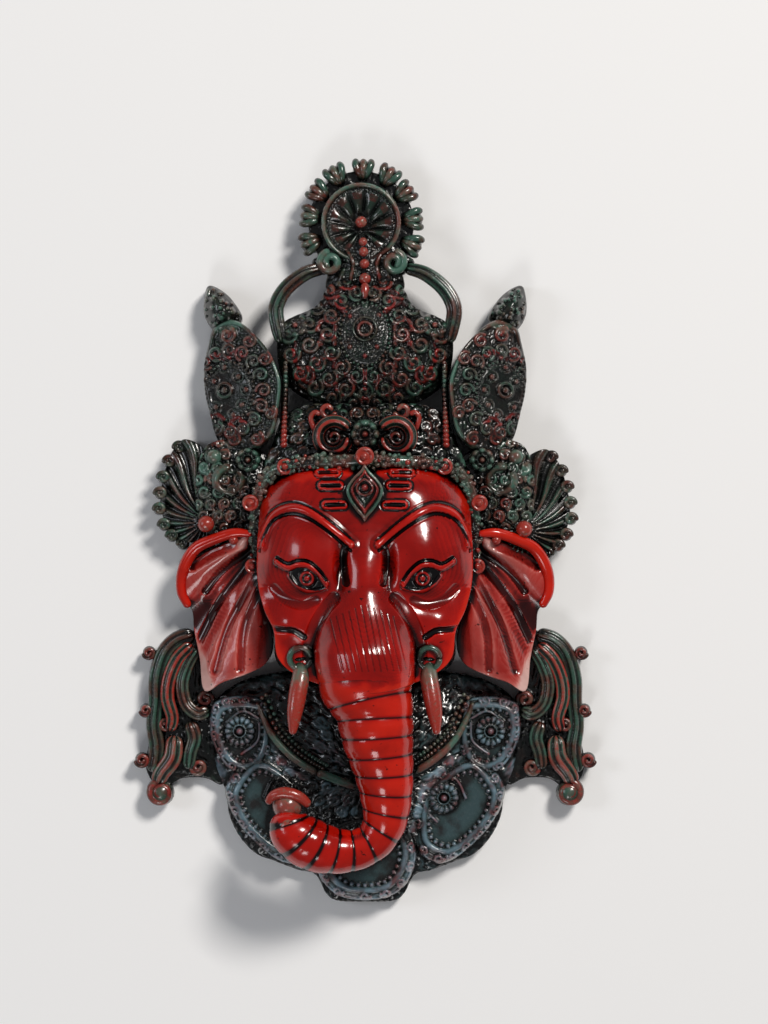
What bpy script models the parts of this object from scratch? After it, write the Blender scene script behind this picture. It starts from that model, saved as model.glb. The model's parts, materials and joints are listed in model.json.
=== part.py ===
"""Ganesha wall mask, one hollow-backed resin casting, lying on its back.

The face looks up (+Z), the crown points along +Y and the trunk curls towards -X.
The carving is drawn in steps: one step is a 750th of the mask's height.
Every form is a closed shape. A union fuses them into the single casting.
"""
import math

import bmesh
import bpy
import numpy as np
from mathutils import Vector

# Driving sizes, in metres.
MASK_HEIGHT = 0.600
WALL = 0.009
FLOOR_CUT = 0.100

# The carving grid: lengths below are in steps unless they say otherwise.
STEP = MASK_HEIGHT / 750.0
ROOT = -12.0
SPAN_POINTS = 8
GRAIN = MASK_HEIGHT / 300.0
KEPT_FACES = 0.028
FACE_CENTRE = (0.0, -48.0)
FACE_HALF = (116.0, 140.0)
FACE_EDGE = 50.0
FACE_RISE = 62.0

RED = (0.58, 0.012, 0.008, 1.0)
LACQUER_ROUGHNESS = 0.25


def clear_scene():
    """Start from an empty file."""
    for item in list(bpy.data.objects):
        bpy.data.objects.remove(item, do_unlink=True)


def new_collection(name):
    """Link a new collection to the scene."""
    group = bpy.data.collections.new(name)
    bpy.context.scene.collection.children.link(group)
    return group


def smooth_line(points, closed=False, span=SPAN_POINTS):
    """Run a Catmull-Rom line through the points, keeping every column (place and radius)."""
    spots = np.array(points, dtype=float)
    count = len(spots)
    if closed:
        padded = np.vstack([spots[-1:], spots, spots[:2]])
        spans = count
    else:
        padded = np.vstack([2 * spots[0] - spots[1], spots, 2 * spots[-1] - spots[-2]])
        spans = count - 1
    line = []
    for index in range(spans):
        before, start, end, after = padded[index:index + 4]
        for part in range(span):
            s = part / span
            curve = 2 * start + (end - before) * s
            curve = curve + (2 * before - 5 * start + 4 * end - after) * s ** 2
            curve = curve + (3 * start - before - 3 * end + after) * s ** 3
            line.append(curve / 2)
    if not closed:
        line.append(spots[-1])
    return np.array(line)


def mirrored(points, side):
    """Copy a list of places for the left (-1) or right (+1) side; lists are drawn on the right."""
    return [(side * point[0], *point[1:]) for point in points]


def place(x, y, z):
    """Turn steps into metres."""
    return Vector((x * STEP, y * STEP, z * STEP))


def hide_form(item, group):
    """Keep a helper form out of the finished model."""
    item.hide_render = True
    item.display_type = "WIRE"
    group.objects.link(item)
    return item


def plate(group, name, rim, centre, top, sectors=24, rings=3, floor=ROOT):
    """A boss or plate: a UV sphere drawn out to the rim, shaped on top and flat below."""
    line = smooth_line(rim, closed=True)
    offset = line[:, :2] - np.array(centre)
    angles = np.arctan2(offset[:, 1], offset[:, 0])
    order = np.argsort(angles)
    angles = angles[order]
    reaches = np.hypot(offset[:, 0], offset[:, 1])[order]
    levels = 2 * rings + 1
    bm = bmesh.new()
    bmesh.ops.create_uvsphere(bm, u_segments=sectors, v_segments=levels, radius=1.0)
    below = set()
    for vert in bm.verts:
        angle = math.atan2(vert.co.y, vert.co.x)
        level = round(math.acos(max(-1.0, min(1.0, vert.co.z))) / math.pi * levels)
        share = min(level, levels - level) / rings
        reach = share * np.interp(angle, angles, reaches, period=2 * math.pi)
        x = centre[0] + reach * math.cos(angle)
        y = centre[1] + reach * math.sin(angle)
        if level <= rings:
            vert.co = place(x, y, top(x, y, share))
        else:
            vert.co = place(x, y, floor)
            below.add(vert)
    under = [face for face in bm.faces if all(vert in below for vert in face.verts)]
    bmesh.ops.dissolve_faces(bm, faces=under, use_verts=True)
    bmesh.ops.recalc_face_normals(bm, faces=bm.faces)
    mesh = bpy.data.meshes.new(name)
    bm.to_mesh(mesh)
    bm.free()
    return hide_form(bpy.data.objects.new(name, mesh), group)


def ring_rim(centre, radius, petals=0, depth=0.0, points=24):
    """A round rim, scalloped where petals are asked for."""
    rim = []
    for index in range(points):
        angle = 2 * math.pi * index / points
        reach = radius * (1 + depth * math.cos(petals * angle))
        rim.append((centre[0] + reach * math.cos(angle), centre[1] + reach * math.sin(angle)))
    return rim


def rod(group, name, points, roundness=1, span=3):
    """A tapering rod along points (x, y, z, radius): a bevelled curve made a mesh, caps welded."""
    line = smooth_line(points, span=span)
    curve = bpy.data.curves.new(name, "CURVE")
    curve.dimensions = "3D"
    curve.bevel_depth = STEP
    curve.bevel_resolution = roundness
    curve.use_fill_caps = True
    spline = curve.splines.new("POLY")
    spline.points.add(len(line) - 1)
    for spot, (x, y, z, radius) in zip(spline.points, line):
        spot.co = (*place(x, y, z), 1.0)
        spot.radius = radius
    guide = bpy.data.objects.new(name + "_guide", curve)
    bpy.context.scene.collection.objects.link(guide)
    shape = guide.evaluated_get(bpy.context.evaluated_depsgraph_get())
    mesh = bpy.data.meshes.new_from_object(shape)
    bpy.data.objects.remove(guide, do_unlink=True)
    bm = bmesh.new()
    bm.from_mesh(mesh)
    bmesh.ops.remove_doubles(bm, verts=bm.verts, dist=0.00001)
    bmesh.ops.recalc_face_normals(bm, faces=bm.faces)
    bm.to_mesh(mesh)
    bm.free()
    return hide_form(bpy.data.objects.new(name, mesh), group)


def ball(group, name, x, y, z, radius, detail=1, tall=1.0):
    """A bead or knob."""
    bm = bmesh.new()
    bmesh.ops.create_icosphere(bm, subdivisions=detail, radius=radius * STEP)
    for vert in bm.verts:
        vert.co.z *= tall
        vert.co += place(x, y, z)
    mesh = bpy.data.meshes.new(name)
    bm.to_mesh(mesh)
    bm.free()
    return hide_form(bpy.data.objects.new(name, mesh), group)


def volute_line(x, y, z, outer, inner, start, turns, hand, thick, rise=0.0, points=9):
    """Places along a scroll that winds in from the outer to the inner radius."""
    line = []
    for index in range(points):
        share = index / (points - 1)
        angle = math.radians(start) + hand * 2 * math.pi * turns * share
        reach = outer + (inner - outer) * share
        line.append((
            x + reach * math.cos(angle),
            y + reach * math.sin(angle),
            z + rise * share,
            thick * (1 - 0.45 * share),
        ))
    return line


def bump(x, y, spot_x, spot_y, wide, tall, high):
    """A soft swelling for the face."""
    return high * math.exp(-((x - spot_x) / wide) ** 2 - ((y - spot_y) / tall) ** 2)


def face_height(x, y):
    """How far the elephant's face stands off the back, before eyes and brows are added."""
    u = abs(x - FACE_CENTRE[0]) / FACE_HALF[0]
    v = abs(y - FACE_CENTRE[1]) / FACE_HALF[1]
    swell = max(0.0, 1.0 - u ** 2.6 - v ** 2.6)
    high = FACE_EDGE + FACE_RISE * math.sqrt(swell)
    for side in (-1, 1):
        high += bump(x, y, side * 48, 38, 40, 26, 5)
        high += bump(x, y, side * 62, -20, 32, 34, 9)
        high += bump(x, y, side * 66, -66, 32, 11, -6)
        high += bump(x, y, side * 80, -94, 22, 24, 10)
        high += bump(x, y, side * 24, -36, 6, 22, -10)
    high += bump(x, y, 0, -42, 18, 34, 10)
    high += bump(x, y, 0, -96, 44, 34, 14)
    return high


def dome(edge, middle, power=2.0):
    """A height that falls from the middle to the edge."""
    return lambda x, y, share: middle + (edge - middle) * share ** power


def add_head(group):
    """The elephant face, with brows, eyes, third eye and tusk sockets."""
    half = [
        (50, 62), (92, 46), (103, 8), (107, -44), (100, -76), (90, -98), (86, -124), (70, -140),
        (40, -152),
    ]
    rim = [(0, 66)] + half + [(0, -158)] + mirrored(half[::-1], -1)
    head = plate(
        group, "head", rim, (0, -50), lambda x, y, share: face_height(x, y), sectors=38, rings=8)
    for side in (-1, 1):
        brow = [(14, -13), (35, 5), (56, 19), (73, 23), (91, 16), (102, -2)]
        path = [(x, y, face_height(x, y) + 1, 4.5) for x, y in brow]
        path[0] = (*path[0][:3], 3.0)
        path[-1] = (*path[-1][:3], 2.5)
        rod(group, "brow", mirrored(path, side), span=2)
        eye_x = 57
        high = face_height(eye_x, -45)
        ball(group, "eyeball", side * eye_x, -45.5, high - 2, 11, detail=2)
        for name, lift in (("upper_lid", 1), ("lower_lid", -1)):
            lid = [(38, -53), (47, -47 + lift * 7), (57, -45 + lift * 9), (67, -42 + lift * 6), (76, -37)]
            path = [(x, y, face_height(x, y) + 3.5, 2.6) for x, y in lid]
            rod(group, name, mirrored(path, side), roundness=0, span=2)
        for row in (58, 42, 26):
            bar = [(26, row, face_height(26, row) + 1, 3.4), (42, row, face_height(42, row), 3.4)]
            rod(group, "forehead_bar", mirrored(bar, side), roundness=0, span=1)
        socket = [(63, -106), (80, -100), (89, -116), (84, -134), (68, -140), (55, -130)]
        plate(
            group, "cheek", mirrored(socket, side), (side * 71, -120), dome(60, 86),
            sectors=12, rings=2, floor=20)
        tusk = [
            (66, -112, 66, 10), (64, -128, 84, 10), (63, -142, 98, 9.5), (66, -160, 106, 9),
            (69, -180, 110, 7), (70, -200, 111, 3),
        ]
        rod(group, "tusk", mirrored(tusk, side), roundness=1, span=2)
    eye_rim = [(0, 66), (11, 54), (17, 42), (11, 29), (0, 16), (-11, 29), (-17, 42), (-11, 54)]
    plate(group, "third_eye", eye_rim, (0, 42), dome(114, 122), sectors=12, rings=2, floor=90)
    return head


def add_trunk(group):
    """The ringed trunk: it hangs clear of the collar and curls at its tip."""
    spine = [
        (0, -40, 66, 36), (0, -84, 82, 48), (0, -120, 98, 51), (2, -150, 105, 47), (9, -176, 108, 39),
        (13, -204, 109, 35), (18, -232, 108, 30), (21, -258, 106, 26), (20, -284, 103, 22),
        (10, -304, 101, 19.5), (-8, -314, 101, 20), (-28, -315, 103, 22.5), (-49, -310, 107, 25),
        (-67, -299, 110, 24), (-76, -286, 112, 21), (-78, -272, 112, 14),
    ]
    line = smooth_line(spine, span=3)
    ringed = []
    for index, (x, y, z, radius) in enumerate(line):
        plain = index < 9
        groove = 1.0 if plain or index % 2 else 0.93
        ringed.append((x, y, z, radius * groove))
    rod(group, "trunk", ringed, roundness=2, span=1)
    ball(group, "trunk_lip", -73, -288, 118, 16)


def add_ears(group):
    """Folded ears with a rolled outer rim."""
    rim = [
        (110, -2), (140, -4), (164, -12), (182, -30), (184, -66), (174, -80), (172, -100),
        (166, -128), (161, -160), (142, -151), (119, -143), (99, -132), (92, -112), (100, -70),
        (104, -35),
    ]

    def folded(x, y, share):
        reach = abs(x)
        angle = math.atan2(y - 10, reach - 92)
        slope = 62 - 0.34 * (reach - 95)
        return slope + 6.0 * math.sin(9.0 * angle + 0.6) * min(1.0, share * 1.6)

    for side in (-1, 1):
        plate(
            group, "ear", mirrored(rim, side), (side * 132, -72), folded,
            sectors=28, rings=4, floor=14)
        roll = [(120, -2, 62, 4), (146, -6, 54, 5.5), (170, -17, 46, 6), (182, -38, 40, 6),
                (184, -60, 37, 5.5), (176, -76, 36, 4)]
        rod(group, "ear_roll", mirrored(roll, side), span=2)


def add_crown(group):
    """The tall crown: round body, crest fan, loops and the scroll band over the forehead."""
    half = [
        (33, 248), (48, 226), (66, 217), (82, 208), (88, 192), (87, 168), (80, 148), (60, 133),
        (34, 124),
    ]
    rim = [(0, 250)] + half + [(0, 118)] + mirrored(half[::-1], -1)
    plate(group, "crown_body", rim, (0, 184), dome(42, 74), sectors=24, rings=3)

    def medallion(x, y, share):
        return 80 - 5 * abs(math.cos(share * math.pi * 1.5))

    plate(group, "medallion", ring_rim((0, 195), 27), (0, 195), medallion, sectors=16, rings=3, floor=40)
    ball(group, "medallion_boss", 0, 199, 80, 8)
    half = [(36, 128), (66, 124), (84, 110), (92, 88), (100, 60), (70, 52)]
    rim = [(0, 128)] + half + [(0, 56)] + mirrored(half[::-1], -1)
    plate(group, "scroll_band", rim, (0, 92), dome(50, 72), sectors=18, rings=2)
    arc = [(108, -30, 56, 6), (109, 0, 60, 7), (104, 30, 66, 8), (66, 62, 82, 8), (30, 69, 94, 8)]
    rod(group, "headband", arc + [(0, 70, 98, 8)] + mirrored(arc[::-1], -1), span=2)
    plate(group, "band_flower", ring_rim((0, 96), 15), (0, 96), dome(76, 90), sectors=12, rings=2, floor=50)
    plate(group, "pendant_leaf", ring_rim((0, 146), 9), (0, 146), dome(66, 80), sectors=10, rings=2, floor=40)
    ball(group, "third_eye_drop", 0, 74, 104, 8)
    for side in (-1, 1):
        band = volute_line(side * 31, 93, 72, 17, 7, 90 + side * 60, 0.9, -side, 5.5, points=10)
        rod(group, "band_volute", band, span=1)
        curl = volute_line(side * 37, 120, 60, 7, 3, 90 + side * 90, 0.7, side, 3.4, points=6)
        rod(group, "top_curl", curl, roundness=0, span=1)
        plate(
            group, "crown_rosette", ring_rim((side * 71, 208), 14, 8, 0.1), (side * 71, 208),
            dome(56, 66), sectors=16, rings=1)
        hook = volute_line(side * 58, 154, 62, 10, 5, 90 - side * 80, 0.7, side, 3.2, points=6)
        rod(group, "crown_hook", hook, roundness=0, span=1)
        loop = [(40, 264, 38, 6), (60, 258, 42, 7.5), (79, 243, 44, 8), (89, 224, 46, 8), (86, 206, 48, 7)]
        rod(group, "crown_loop", mirrored(loop, side), span=2)
        string = [(79, 168, 50, 4), (80, 128, 54, 4.5), (82, 88, 58, 6)]
        rod(group, "bead_string", mirrored(string, side), span=2)
        for x, y, z, radius in ((79, 64, 60, 10), (110, 28, 52, 10), (108, -35, 50, 9)):
            ball(group, "cup_drop", side * x, y, z, radius)
    add_crest(group)


def add_crest(group):
    """The fan disc at the very top, with curled knobs round it."""
    crest = (-4, 309)
    petals = 12
    sectors = 24

    def dished(x, y, share):
        angle = math.atan2(y - crest[1], x - crest[0])
        ripple = 2.2 * math.cos(petals * angle)
        return 36 + 9 * share ** 2 + (ripple if 0.4 < share < 0.9 else 0.0)

    half = [(34, 286), (30, 268), (38, 256), (36, 240)]
    plate(
        group, "crest_neck", [(0, 300)] + half + [(0, 232)] + mirrored(half[::-1], -1), (0, 262),
        dome(34, 50), sectors=14, rings=2)
    plate(group, "crest_back", ring_rim(crest, 49), crest, dome(28, 32), sectors=20, rings=1)
    plate(group, "crest_dish", ring_rim(crest, 41), crest, dished, sectors=sectors, rings=3)
    ball(group, "crest_stud", -4, 308, 42, 6)
    ball(group, "neck_drop", 0, 252, 48, 7)
    knobs = (
        (-2, 364, 9.5), (-29, 357, 9.5), (-46, 340, 9.5), (-54, 316, 9.5), (-54, 290, 9.5), (-42, 269, 8),
        (23, 356, 9.5), (39, 339, 9.5), (47, 313, 9.5), (46, 288, 9.5), (38, 269, 8),
    )
    for x, y, radius in knobs:
        ball(group, "crest_knob", x, y, 26, radius)
    for side in (-1, 1):
        scroll = volute_line(side * 32 - 3, 269, 40, 11, 5, 90, 0.95, -side, 4.5, points=8)
        rod(group, "neck_volute", scroll, roundness=0, span=1)


def add_side_plates(group):
    """The plates beside the crown, turned outwards, each with a knob on top."""
    rim = [
        (152, 205), (157, 190), (162, 164), (161, 140), (155, 114), (150, 96), (142, 82),
        (124, 78), (104, 84), (91, 100), (86, 124), (84, 146), (87, 160), (94, 176), (105, 191),
        (122, 207), (138, 212),
    ]
    knob = [(152, 202), (162, 218), (161, 240), (156, 247), (143, 241), (132, 230), (124, 214), (134, 202)]

    def turned(x, y, share):
        return 66 - 0.55 * (abs(x) - 88) + 6 * (1 - share ** 2)

    def ringed(x, y, share):
        return turned(x, y, 0) + 3 + 3 * math.cos(share * math.pi * 2)

    for side in (-1, 1):
        plate(group, "side_plate", mirrored(rim, side), (side * 124, 146), turned, sectors=18, rings=2)
        plate(group, "plate_knob", mirrored(knob, side), (side * 145, 222), dome(26, 44), sectors=10, rings=2)
        centre = (side * 136, 140)
        plate(group, "plate_medallion", ring_rim(centre, 25), centre, ringed, sectors=14, rings=3)
        ball(group, "plate_boss", *centre, turned(*centre, 0) + 6, 5)
        plate(
            group, "plate_rosette", ring_rim((side * 117, 71), 12, 8, 0.1), (side * 117, 71),
            dome(52, 60), sectors=16, rings=1)
        ring = volute_line(side * 136, 51, 46, 13, 12, 60, 0.95, side, 5, points=12)
        rod(group, "plate_scroll", ring, roundness=0, span=1)
        ball(group, "scroll_ball", side * 151, 74, 38, 8)
        ball(group, "scroll_bead", side * 163, 64, 30, 5)


def add_fans(group):
    """Ribbed shell fans with curled knobs, and the pebbled web behind them."""
    rim = [
        (182, 88), (196, 72), (202, 54), (206, 36), (206, 18), (200, 2), (190, -10), (172, -16),
        (148, -12), (136, 20), (142, 56), (160, 78),
    ]
    knobs = (
        (187, 80), (197, 66), (203, 50), (206, 34), (207, 18), (202, 2), (194, -9), (183, -17),
    )
    web = [(160, 84), (126, 90), (92, 66), (100, 20), (104, -20), (130, -14), (160, -10), (170, 40)]
    root = (159, 5)

    def ribbed(x, y, share):
        angle = math.atan2(y - root[1], abs(x) - root[0])
        reach = math.hypot(abs(x) - root[0], y - root[1])
        wave = 2.6 * math.cos(18 * angle + 0.06 * reach)
        return 44 - 0.42 * max(0.0, abs(x) - 150) + (wave if share > 0.3 else 0.0)

    for side in (-1, 1):
        sag = -6 if side > 0 else 4
        shift = lambda points: [(x, y + sag, *rest) for x, y, *rest in mirrored(points, side)]
        plate(group, "web", mirrored(web, side), (side * 130, 34), dome(38, 50), sectors=10, rings=1)
        plate(group, "fan", shift(rim), (side * 172, 34 + sag), ribbed, sectors=28, rings=2)
        for x, y in shift(knobs):
            ball(group, "fan_knob", x, y, 24, 7.5)
        ball(group, "fan_bead", side * root[0], root[1] + sag * 0.5, 50, 8.5)
        ball(group, "fan_bead", side * 131, -9, 56, 5)


def add_brackets(group):
    """The scroll brackets beside the collar: ribbed bands and curls on a thin back plate."""
    back = [
        (168, -102), (190, -106), (207, -116), (213, -135), (216, -160), (220, -185), (218, -210),
        (222, -235), (216, -252), (204, -262), (190, -252), (178, -249), (160, -250), (144, -256),
        (143, -230), (150, -190), (156, -160), (163, -130),
    ]
    outer = [
        (172, -104, 20, 8), (190, -110, 20, 8.5), (203, -124, 19, 8.5), (210, -148, 18, 8.5),
        (211, -172, 18, 8), (213, -196, 18, 8), (210, -220, 17, 8.5), (214, -244, 17, 8),
    ]
    middle = [
        (174, -114, 24, 7), (188, -128, 24, 7.5), (197, -148, 24, 7.5), (199, -168, 24, 7.5),
        (194, -188, 24, 7), (197, -202, 23, 6),
    ]
    hook = [
        (168, -118, 24, 6), (178, -134, 24, 6.5), (184, -154, 25, 7), (180, -174, 26, 7),
        (168, -184, 27, 7), (157, -180, 27, 6.5),
    ]
    leaf = [(192, -206, 20, 9), (194, -228, 21, 10), (205, -244, 20, 9), (210, -256, 19, 8)]
    lower = [(177, -192, 22, 7), (172, -208, 22, 7.5), (176, -224, 22, 7), (178, -240, 21, 6.5)]
    curls = (
        (218, -123, 8.8), (221, -181, 8.8), (225, -231, 9.8), (201, -196, 9.8), (161, -170, 11.8),
        (168, -238, 10.8),
    )
    for side in (-1, 1):
        middle_of_back = (side * 184, -190)
        plate(group, "bracket_back", mirrored(back, side), middle_of_back, dome(12, 15), sectors=26, rings=1)
        for path in (outer, middle, hook, leaf, lower):
            rod(group, "bracket_band", mirrored(path, side), roundness=0, span=2)
        for x, y, radius in curls:
            ball(group, "bracket_curl", side * x, y, 18, radius, tall=0.9)
        centre = (side * 206, -264)
        plate(group, "bracket_foot", ring_rim(centre, 17), centre, dome(18, 26), sectors=16, rings=2)


def add_collar(group):
    """The lobed collar: a dished bib with three lower lobes and two shoulder pieces."""
    half = [
        (34, -371), (50, -347), (68, -342), (92, -333), (111, -325), (127, -308), (137, -287),
        (141, -262), (151, -234), (153, -204), (151, -172), (120, -150), (70, -140),
    ]
    rim = [(0, -374)] + half + [(0, -130)] + mirrored(half[::-1], -1)

    def bib(x, y, share):
        return 40 - 26 * share ** 2

    plate(group, "collar", rim, (0, -250), bib, sectors=34, rings=3)

    def lobed(high, low):
        def lobe(x, y, share):
            if share < 0.65:
                return high
            return high + 4 if share < 0.8 else low
        return lobe

    lower = [(76, -250), (112, -226), (138, -262), (134, -290), (122, -310), (98, -328), (66, -334),
             (52, -310), (60, -280)]
    shoulder = [(96, -172), (128, -168), (150, -176), (152, -206), (148, -232), (128, -244),
                (104, -234), (94, -206)]
    middle = [(0, -372), (30, -366), (48, -344), (52, -316), (36, -290), (0, -280), (-36, -290),
              (-52, -316), (-48, -344), (-30, -366)]
    plate(group, "middle_lobe", middle, (0, -324), lobed(36, 20), sectors=20, rings=5)
    for side in (-1, 1):
        plate(group, "lower_lobe", mirrored(lower, side), (side * 96, -282), lobed(32, 19), sectors=18, rings=5)
        plate(group, "shoulder", mirrored(shoulder, side), (side * 124, -204), lobed(31, 24), sectors=14, rings=5)
        for x, y, high in ((126, -203, 37), (79, -269, 40)):
            centre = (side * x, y)
            plate(
                group, "collar_rosette", ring_rim(centre, 14.5, 10, 0.08), centre,
                dome(high, high - 3), sectors=20, rings=1)
            ball(group, "rosette_boss", *centre, high - 1, 6)
        ridge = [(109, -172, 30, 5), (92, -196, 33, 5.5), (72, -220, 37, 5.5), (48, -242, 40, 5.5)]
        rod(group, "neckline", mirrored(ridge, side), roundness=0, span=2)
        plate(
            group, "collar_curl", ring_rim((side * 150, -252), 11), (side * 150, -252), dome(14, 20),
            sectors=10, rings=1)
    ridge = [(-48, -242, 40, 5.5), (0, -256, 42, 5.5), (48, -242, 40, 5.5)]
    rod(group, "neckline_front", ridge, roundness=0, span=2)


def make_hollow(group):
    """The open inside of the mask: the head and the crown are thin-walled from behind."""
    wall = WALL / STEP
    half = [(40, 34), (78, 22), (86, -8), (88, -44), (82, -72), (72, -96), (50, -116)]
    rim = [(0, 38)] + half + [(0, -122)] + mirrored(half[::-1], -1)

    def inside(x, y, share):
        return min(face_height(x, y), 96.0) - wall - 5 * share

    head = plate(group, "head_hollow", rim, (0, -44), inside, sectors=24, rings=4, floor=-30)
    half = [(40, 222), (66, 190), (62, 150), (52, 122), (60, 92), (64, 50)]
    rim = [(0, 232)] + half + [(0, 10)] + mirrored(half[::-1], -1)
    crown = plate(group, "crown_hollow", rim, (0, 126), dome(24, 46), sectors=20, rings=3, floor=-31)
    return [head, crown]


def make_bench(group):
    """The flat surface that the back is ground to."""
    bm = bmesh.new()
    bmesh.ops.create_cube(bm, size=1.0)
    for vert in bm.verts:
        vert.co.x *= 2 * MASK_HEIGHT
        vert.co.y *= 2 * MASK_HEIGHT
        vert.co.z = (vert.co.z - 0.5) * FLOOR_CUT
    mesh = bpy.data.meshes.new("bench")
    bm.to_mesh(mesh)
    bm.free()
    return hide_form(bpy.data.objects.new("bench", mesh), group)


def red_lacquer():
    """The gloss red that covers most of the casting."""
    finish = bpy.data.materials.new("red_lacquer")
    finish.use_nodes = True
    shader = finish.node_tree.nodes["Principled BSDF"]
    shader.inputs["Base Color"].default_value = RED
    shader.inputs["Roughness"].default_value = LACQUER_ROUGHNESS
    shader.inputs["Metallic"].default_value = 0.0
    return finish


def boolean(item, name, operation, solver="EXACT"):
    """Add a live Boolean to the casting."""
    step = item.modifiers.new(name, "BOOLEAN")
    step.operation = operation
    step.solver = solver
    return step


def build():
    """Fuse every form into the one casting, then open its back."""
    clear_scene()
    mask_group = new_collection("ganesha_mask")
    forms = new_collection("forms")
    cutters = new_collection("cutters")
    head = add_head(forms)
    add_trunk(forms)
    add_ears(forms)
    add_crown(forms)
    add_side_plates(forms)
    add_fans(forms)
    add_brackets(forms)
    add_collar(forms)
    mask = bpy.data.objects.new("ganesha_mask", head.data)
    mask.data.materials.append(red_lacquer())
    bpy.data.objects.remove(head, do_unlink=True)
    mask_group.objects.link(mask)
    fuse = boolean(mask, "fuse", "UNION")
    fuse.operand_type = "COLLECTION"
    fuse.collection = forms
    for index, hollow in enumerate(make_hollow(cutters)):
        boolean(mask, f"hollow_{index}", "DIFFERENCE").object = hollow
    skin = mask.modifiers.new("one_skin", "REMESH")
    skin.mode = "VOXEL"
    skin.voxel_size = GRAIN
    thin = mask.modifiers.new("thin_out", "DECIMATE")
    thin.ratio = KEPT_FACES
    # EXACT leaves one edge of this last cut open on the thinned mesh, MANIFOLD closes it.
    boolean(mask, "flat_back", "DIFFERENCE", solver="MANIFOLD").object = make_bench(cutters)
    return mask


if __name__ == "__main__":
    build()
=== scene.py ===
# %% [markdown]
# # A red lacquered elephant mask, carved as relief and finished by height
#
# The real mask is one resin casting. Its mould was carved with shallow ornament, the casting was
# lacquered red, and dark wax and green patina were rubbed into the low places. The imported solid
# gives the size and place; this lesson rebuilds the surface finely over it.

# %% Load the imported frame
import math
import json

import bmesh
import bpy
import numpy as np
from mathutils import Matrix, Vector

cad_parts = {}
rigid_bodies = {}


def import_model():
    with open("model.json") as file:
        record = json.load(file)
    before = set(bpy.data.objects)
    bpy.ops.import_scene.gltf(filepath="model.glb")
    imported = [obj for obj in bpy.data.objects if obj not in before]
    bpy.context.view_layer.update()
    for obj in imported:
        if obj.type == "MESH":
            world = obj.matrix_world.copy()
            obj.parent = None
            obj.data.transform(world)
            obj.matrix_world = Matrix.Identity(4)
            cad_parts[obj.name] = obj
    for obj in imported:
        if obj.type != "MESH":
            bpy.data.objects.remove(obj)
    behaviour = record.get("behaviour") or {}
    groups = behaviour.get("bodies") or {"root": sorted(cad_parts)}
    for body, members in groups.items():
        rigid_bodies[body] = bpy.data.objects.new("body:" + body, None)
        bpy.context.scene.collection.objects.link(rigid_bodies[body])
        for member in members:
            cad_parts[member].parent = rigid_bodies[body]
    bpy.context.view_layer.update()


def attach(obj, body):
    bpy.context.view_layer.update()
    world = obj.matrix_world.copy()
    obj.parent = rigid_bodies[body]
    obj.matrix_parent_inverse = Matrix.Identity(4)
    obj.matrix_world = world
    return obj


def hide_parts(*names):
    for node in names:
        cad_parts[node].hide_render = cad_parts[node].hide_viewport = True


for leftover in list(bpy.data.objects):
    bpy.data.objects.remove(leftover, do_unlink=True)
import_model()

# %% [markdown]
# ## The carver's grid
#
# The carving is drawn in steps of a 750th of the mask's height, 0.8 mm, so a feature keeps its
# place if the mask is made larger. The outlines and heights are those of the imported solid.

# %% Steps and smooth lines
MASK_HEIGHT = 0.600
STEP = MASK_HEIGHT / 750.0
FINE = 1.0


def smooth_line(points, closed=False, span=8):
    """Run a Catmull-Rom line through points, with every column (place, height, radius)."""
    spots = np.array(points, dtype=float)
    if closed:
        padded = np.vstack([spots[-1:], spots, spots[:2]])
    else:
        padded = np.vstack([2 * spots[0] - spots[1], spots, 2 * spots[-1] - spots[-2]])
    s = (np.arange(span) / span)[:, None]
    line = []
    for index in range(len(padded) - 3):
        before, start, end, after = padded[index:index + 4]
        curve = 2 * start + (end - before) * s
        curve = curve + (2 * before - 5 * start + 4 * end - after) * s ** 2
        curve = curve + (3 * start - before - 3 * end + after) * s ** 3
        line.append(curve / 2)
    if not closed:
        line.append(spots[-1:])
    return np.vstack(line)


def mirrored(points, side):
    """Right-hand places for side 1, left-hand ones for side -1."""
    return [(side * point[0], *point[1:]) for point in points]


def outline(first, half, last):
    """A closed outline from its right half and the heights of its two points on the middle line."""
    return [(0, first)] + half + [(0, last)] + mirrored(half[::-1], -1)


def scroll(x, y, outer, inner, start, turns, hand, points=28):
    """The line of a volute that winds inwards."""
    line = []
    for index in range(points):
        share = index / (points - 1)
        angle = math.radians(start) + hand * 2 * math.pi * turns * share
        reach = outer + (inner - outer) * share
        line.append((x + reach * math.cos(angle), y + reach * math.sin(angle)))
    return line


def ring(x, y, wide, tall=None, points=40):
    """A closed ring or oval, first point repeated at the end."""
    tall = tall or wide
    return [(x + wide * math.cos(2 * math.pi * index / points),
             y + tall * math.sin(2 * math.pi * index / points)) for index in range(points + 1)]


# %% [markdown]
# ## Relief tools
#
# A mould carver works a surface with a few cuts: a raised wire, a groove, a row of beads, a
# rosette, a field of pebbles. Each is a small function that lifts or lowers the points of a sheet
# near a line. Displacing a fine mesh keeps every cut in the mesh, where a bump map would be lost
# in profile. `red` marks the leaves and studs that were rubbed back to the lacquer, and below
# zero it marks the lines that were filled with dark wax; on the ears' fold valleys, one side of
# the nose and the tusk sockets it is painted shade.

# %% Sheets and cuts
class Sheet:
    """The points of one plate while it is carved: place, height, share of the rim, red rub."""

    def __init__(self, x, y, share):
        self.x = x
        self.y = y
        self.share = share
        self.z = np.zeros_like(x)
        self.red = np.zeros_like(x)
        self.ground = None

    def lay_ground(self):
        """From here on, cuts that cross take the higher one and don't pile up."""
        self.ground = self.z.copy()

    def lift(self, found, rise):
        """Raise points by a cut, or lower them."""
        if self.ground is None:
            self.z[found] += rise
        else:
            sunk = self.z[found] + np.minimum(rise, 0)
            raised = np.maximum(self.z[found], self.ground[found] + rise)
            self.z[found] = np.where(rise > 0, raised, sunk)


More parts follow.
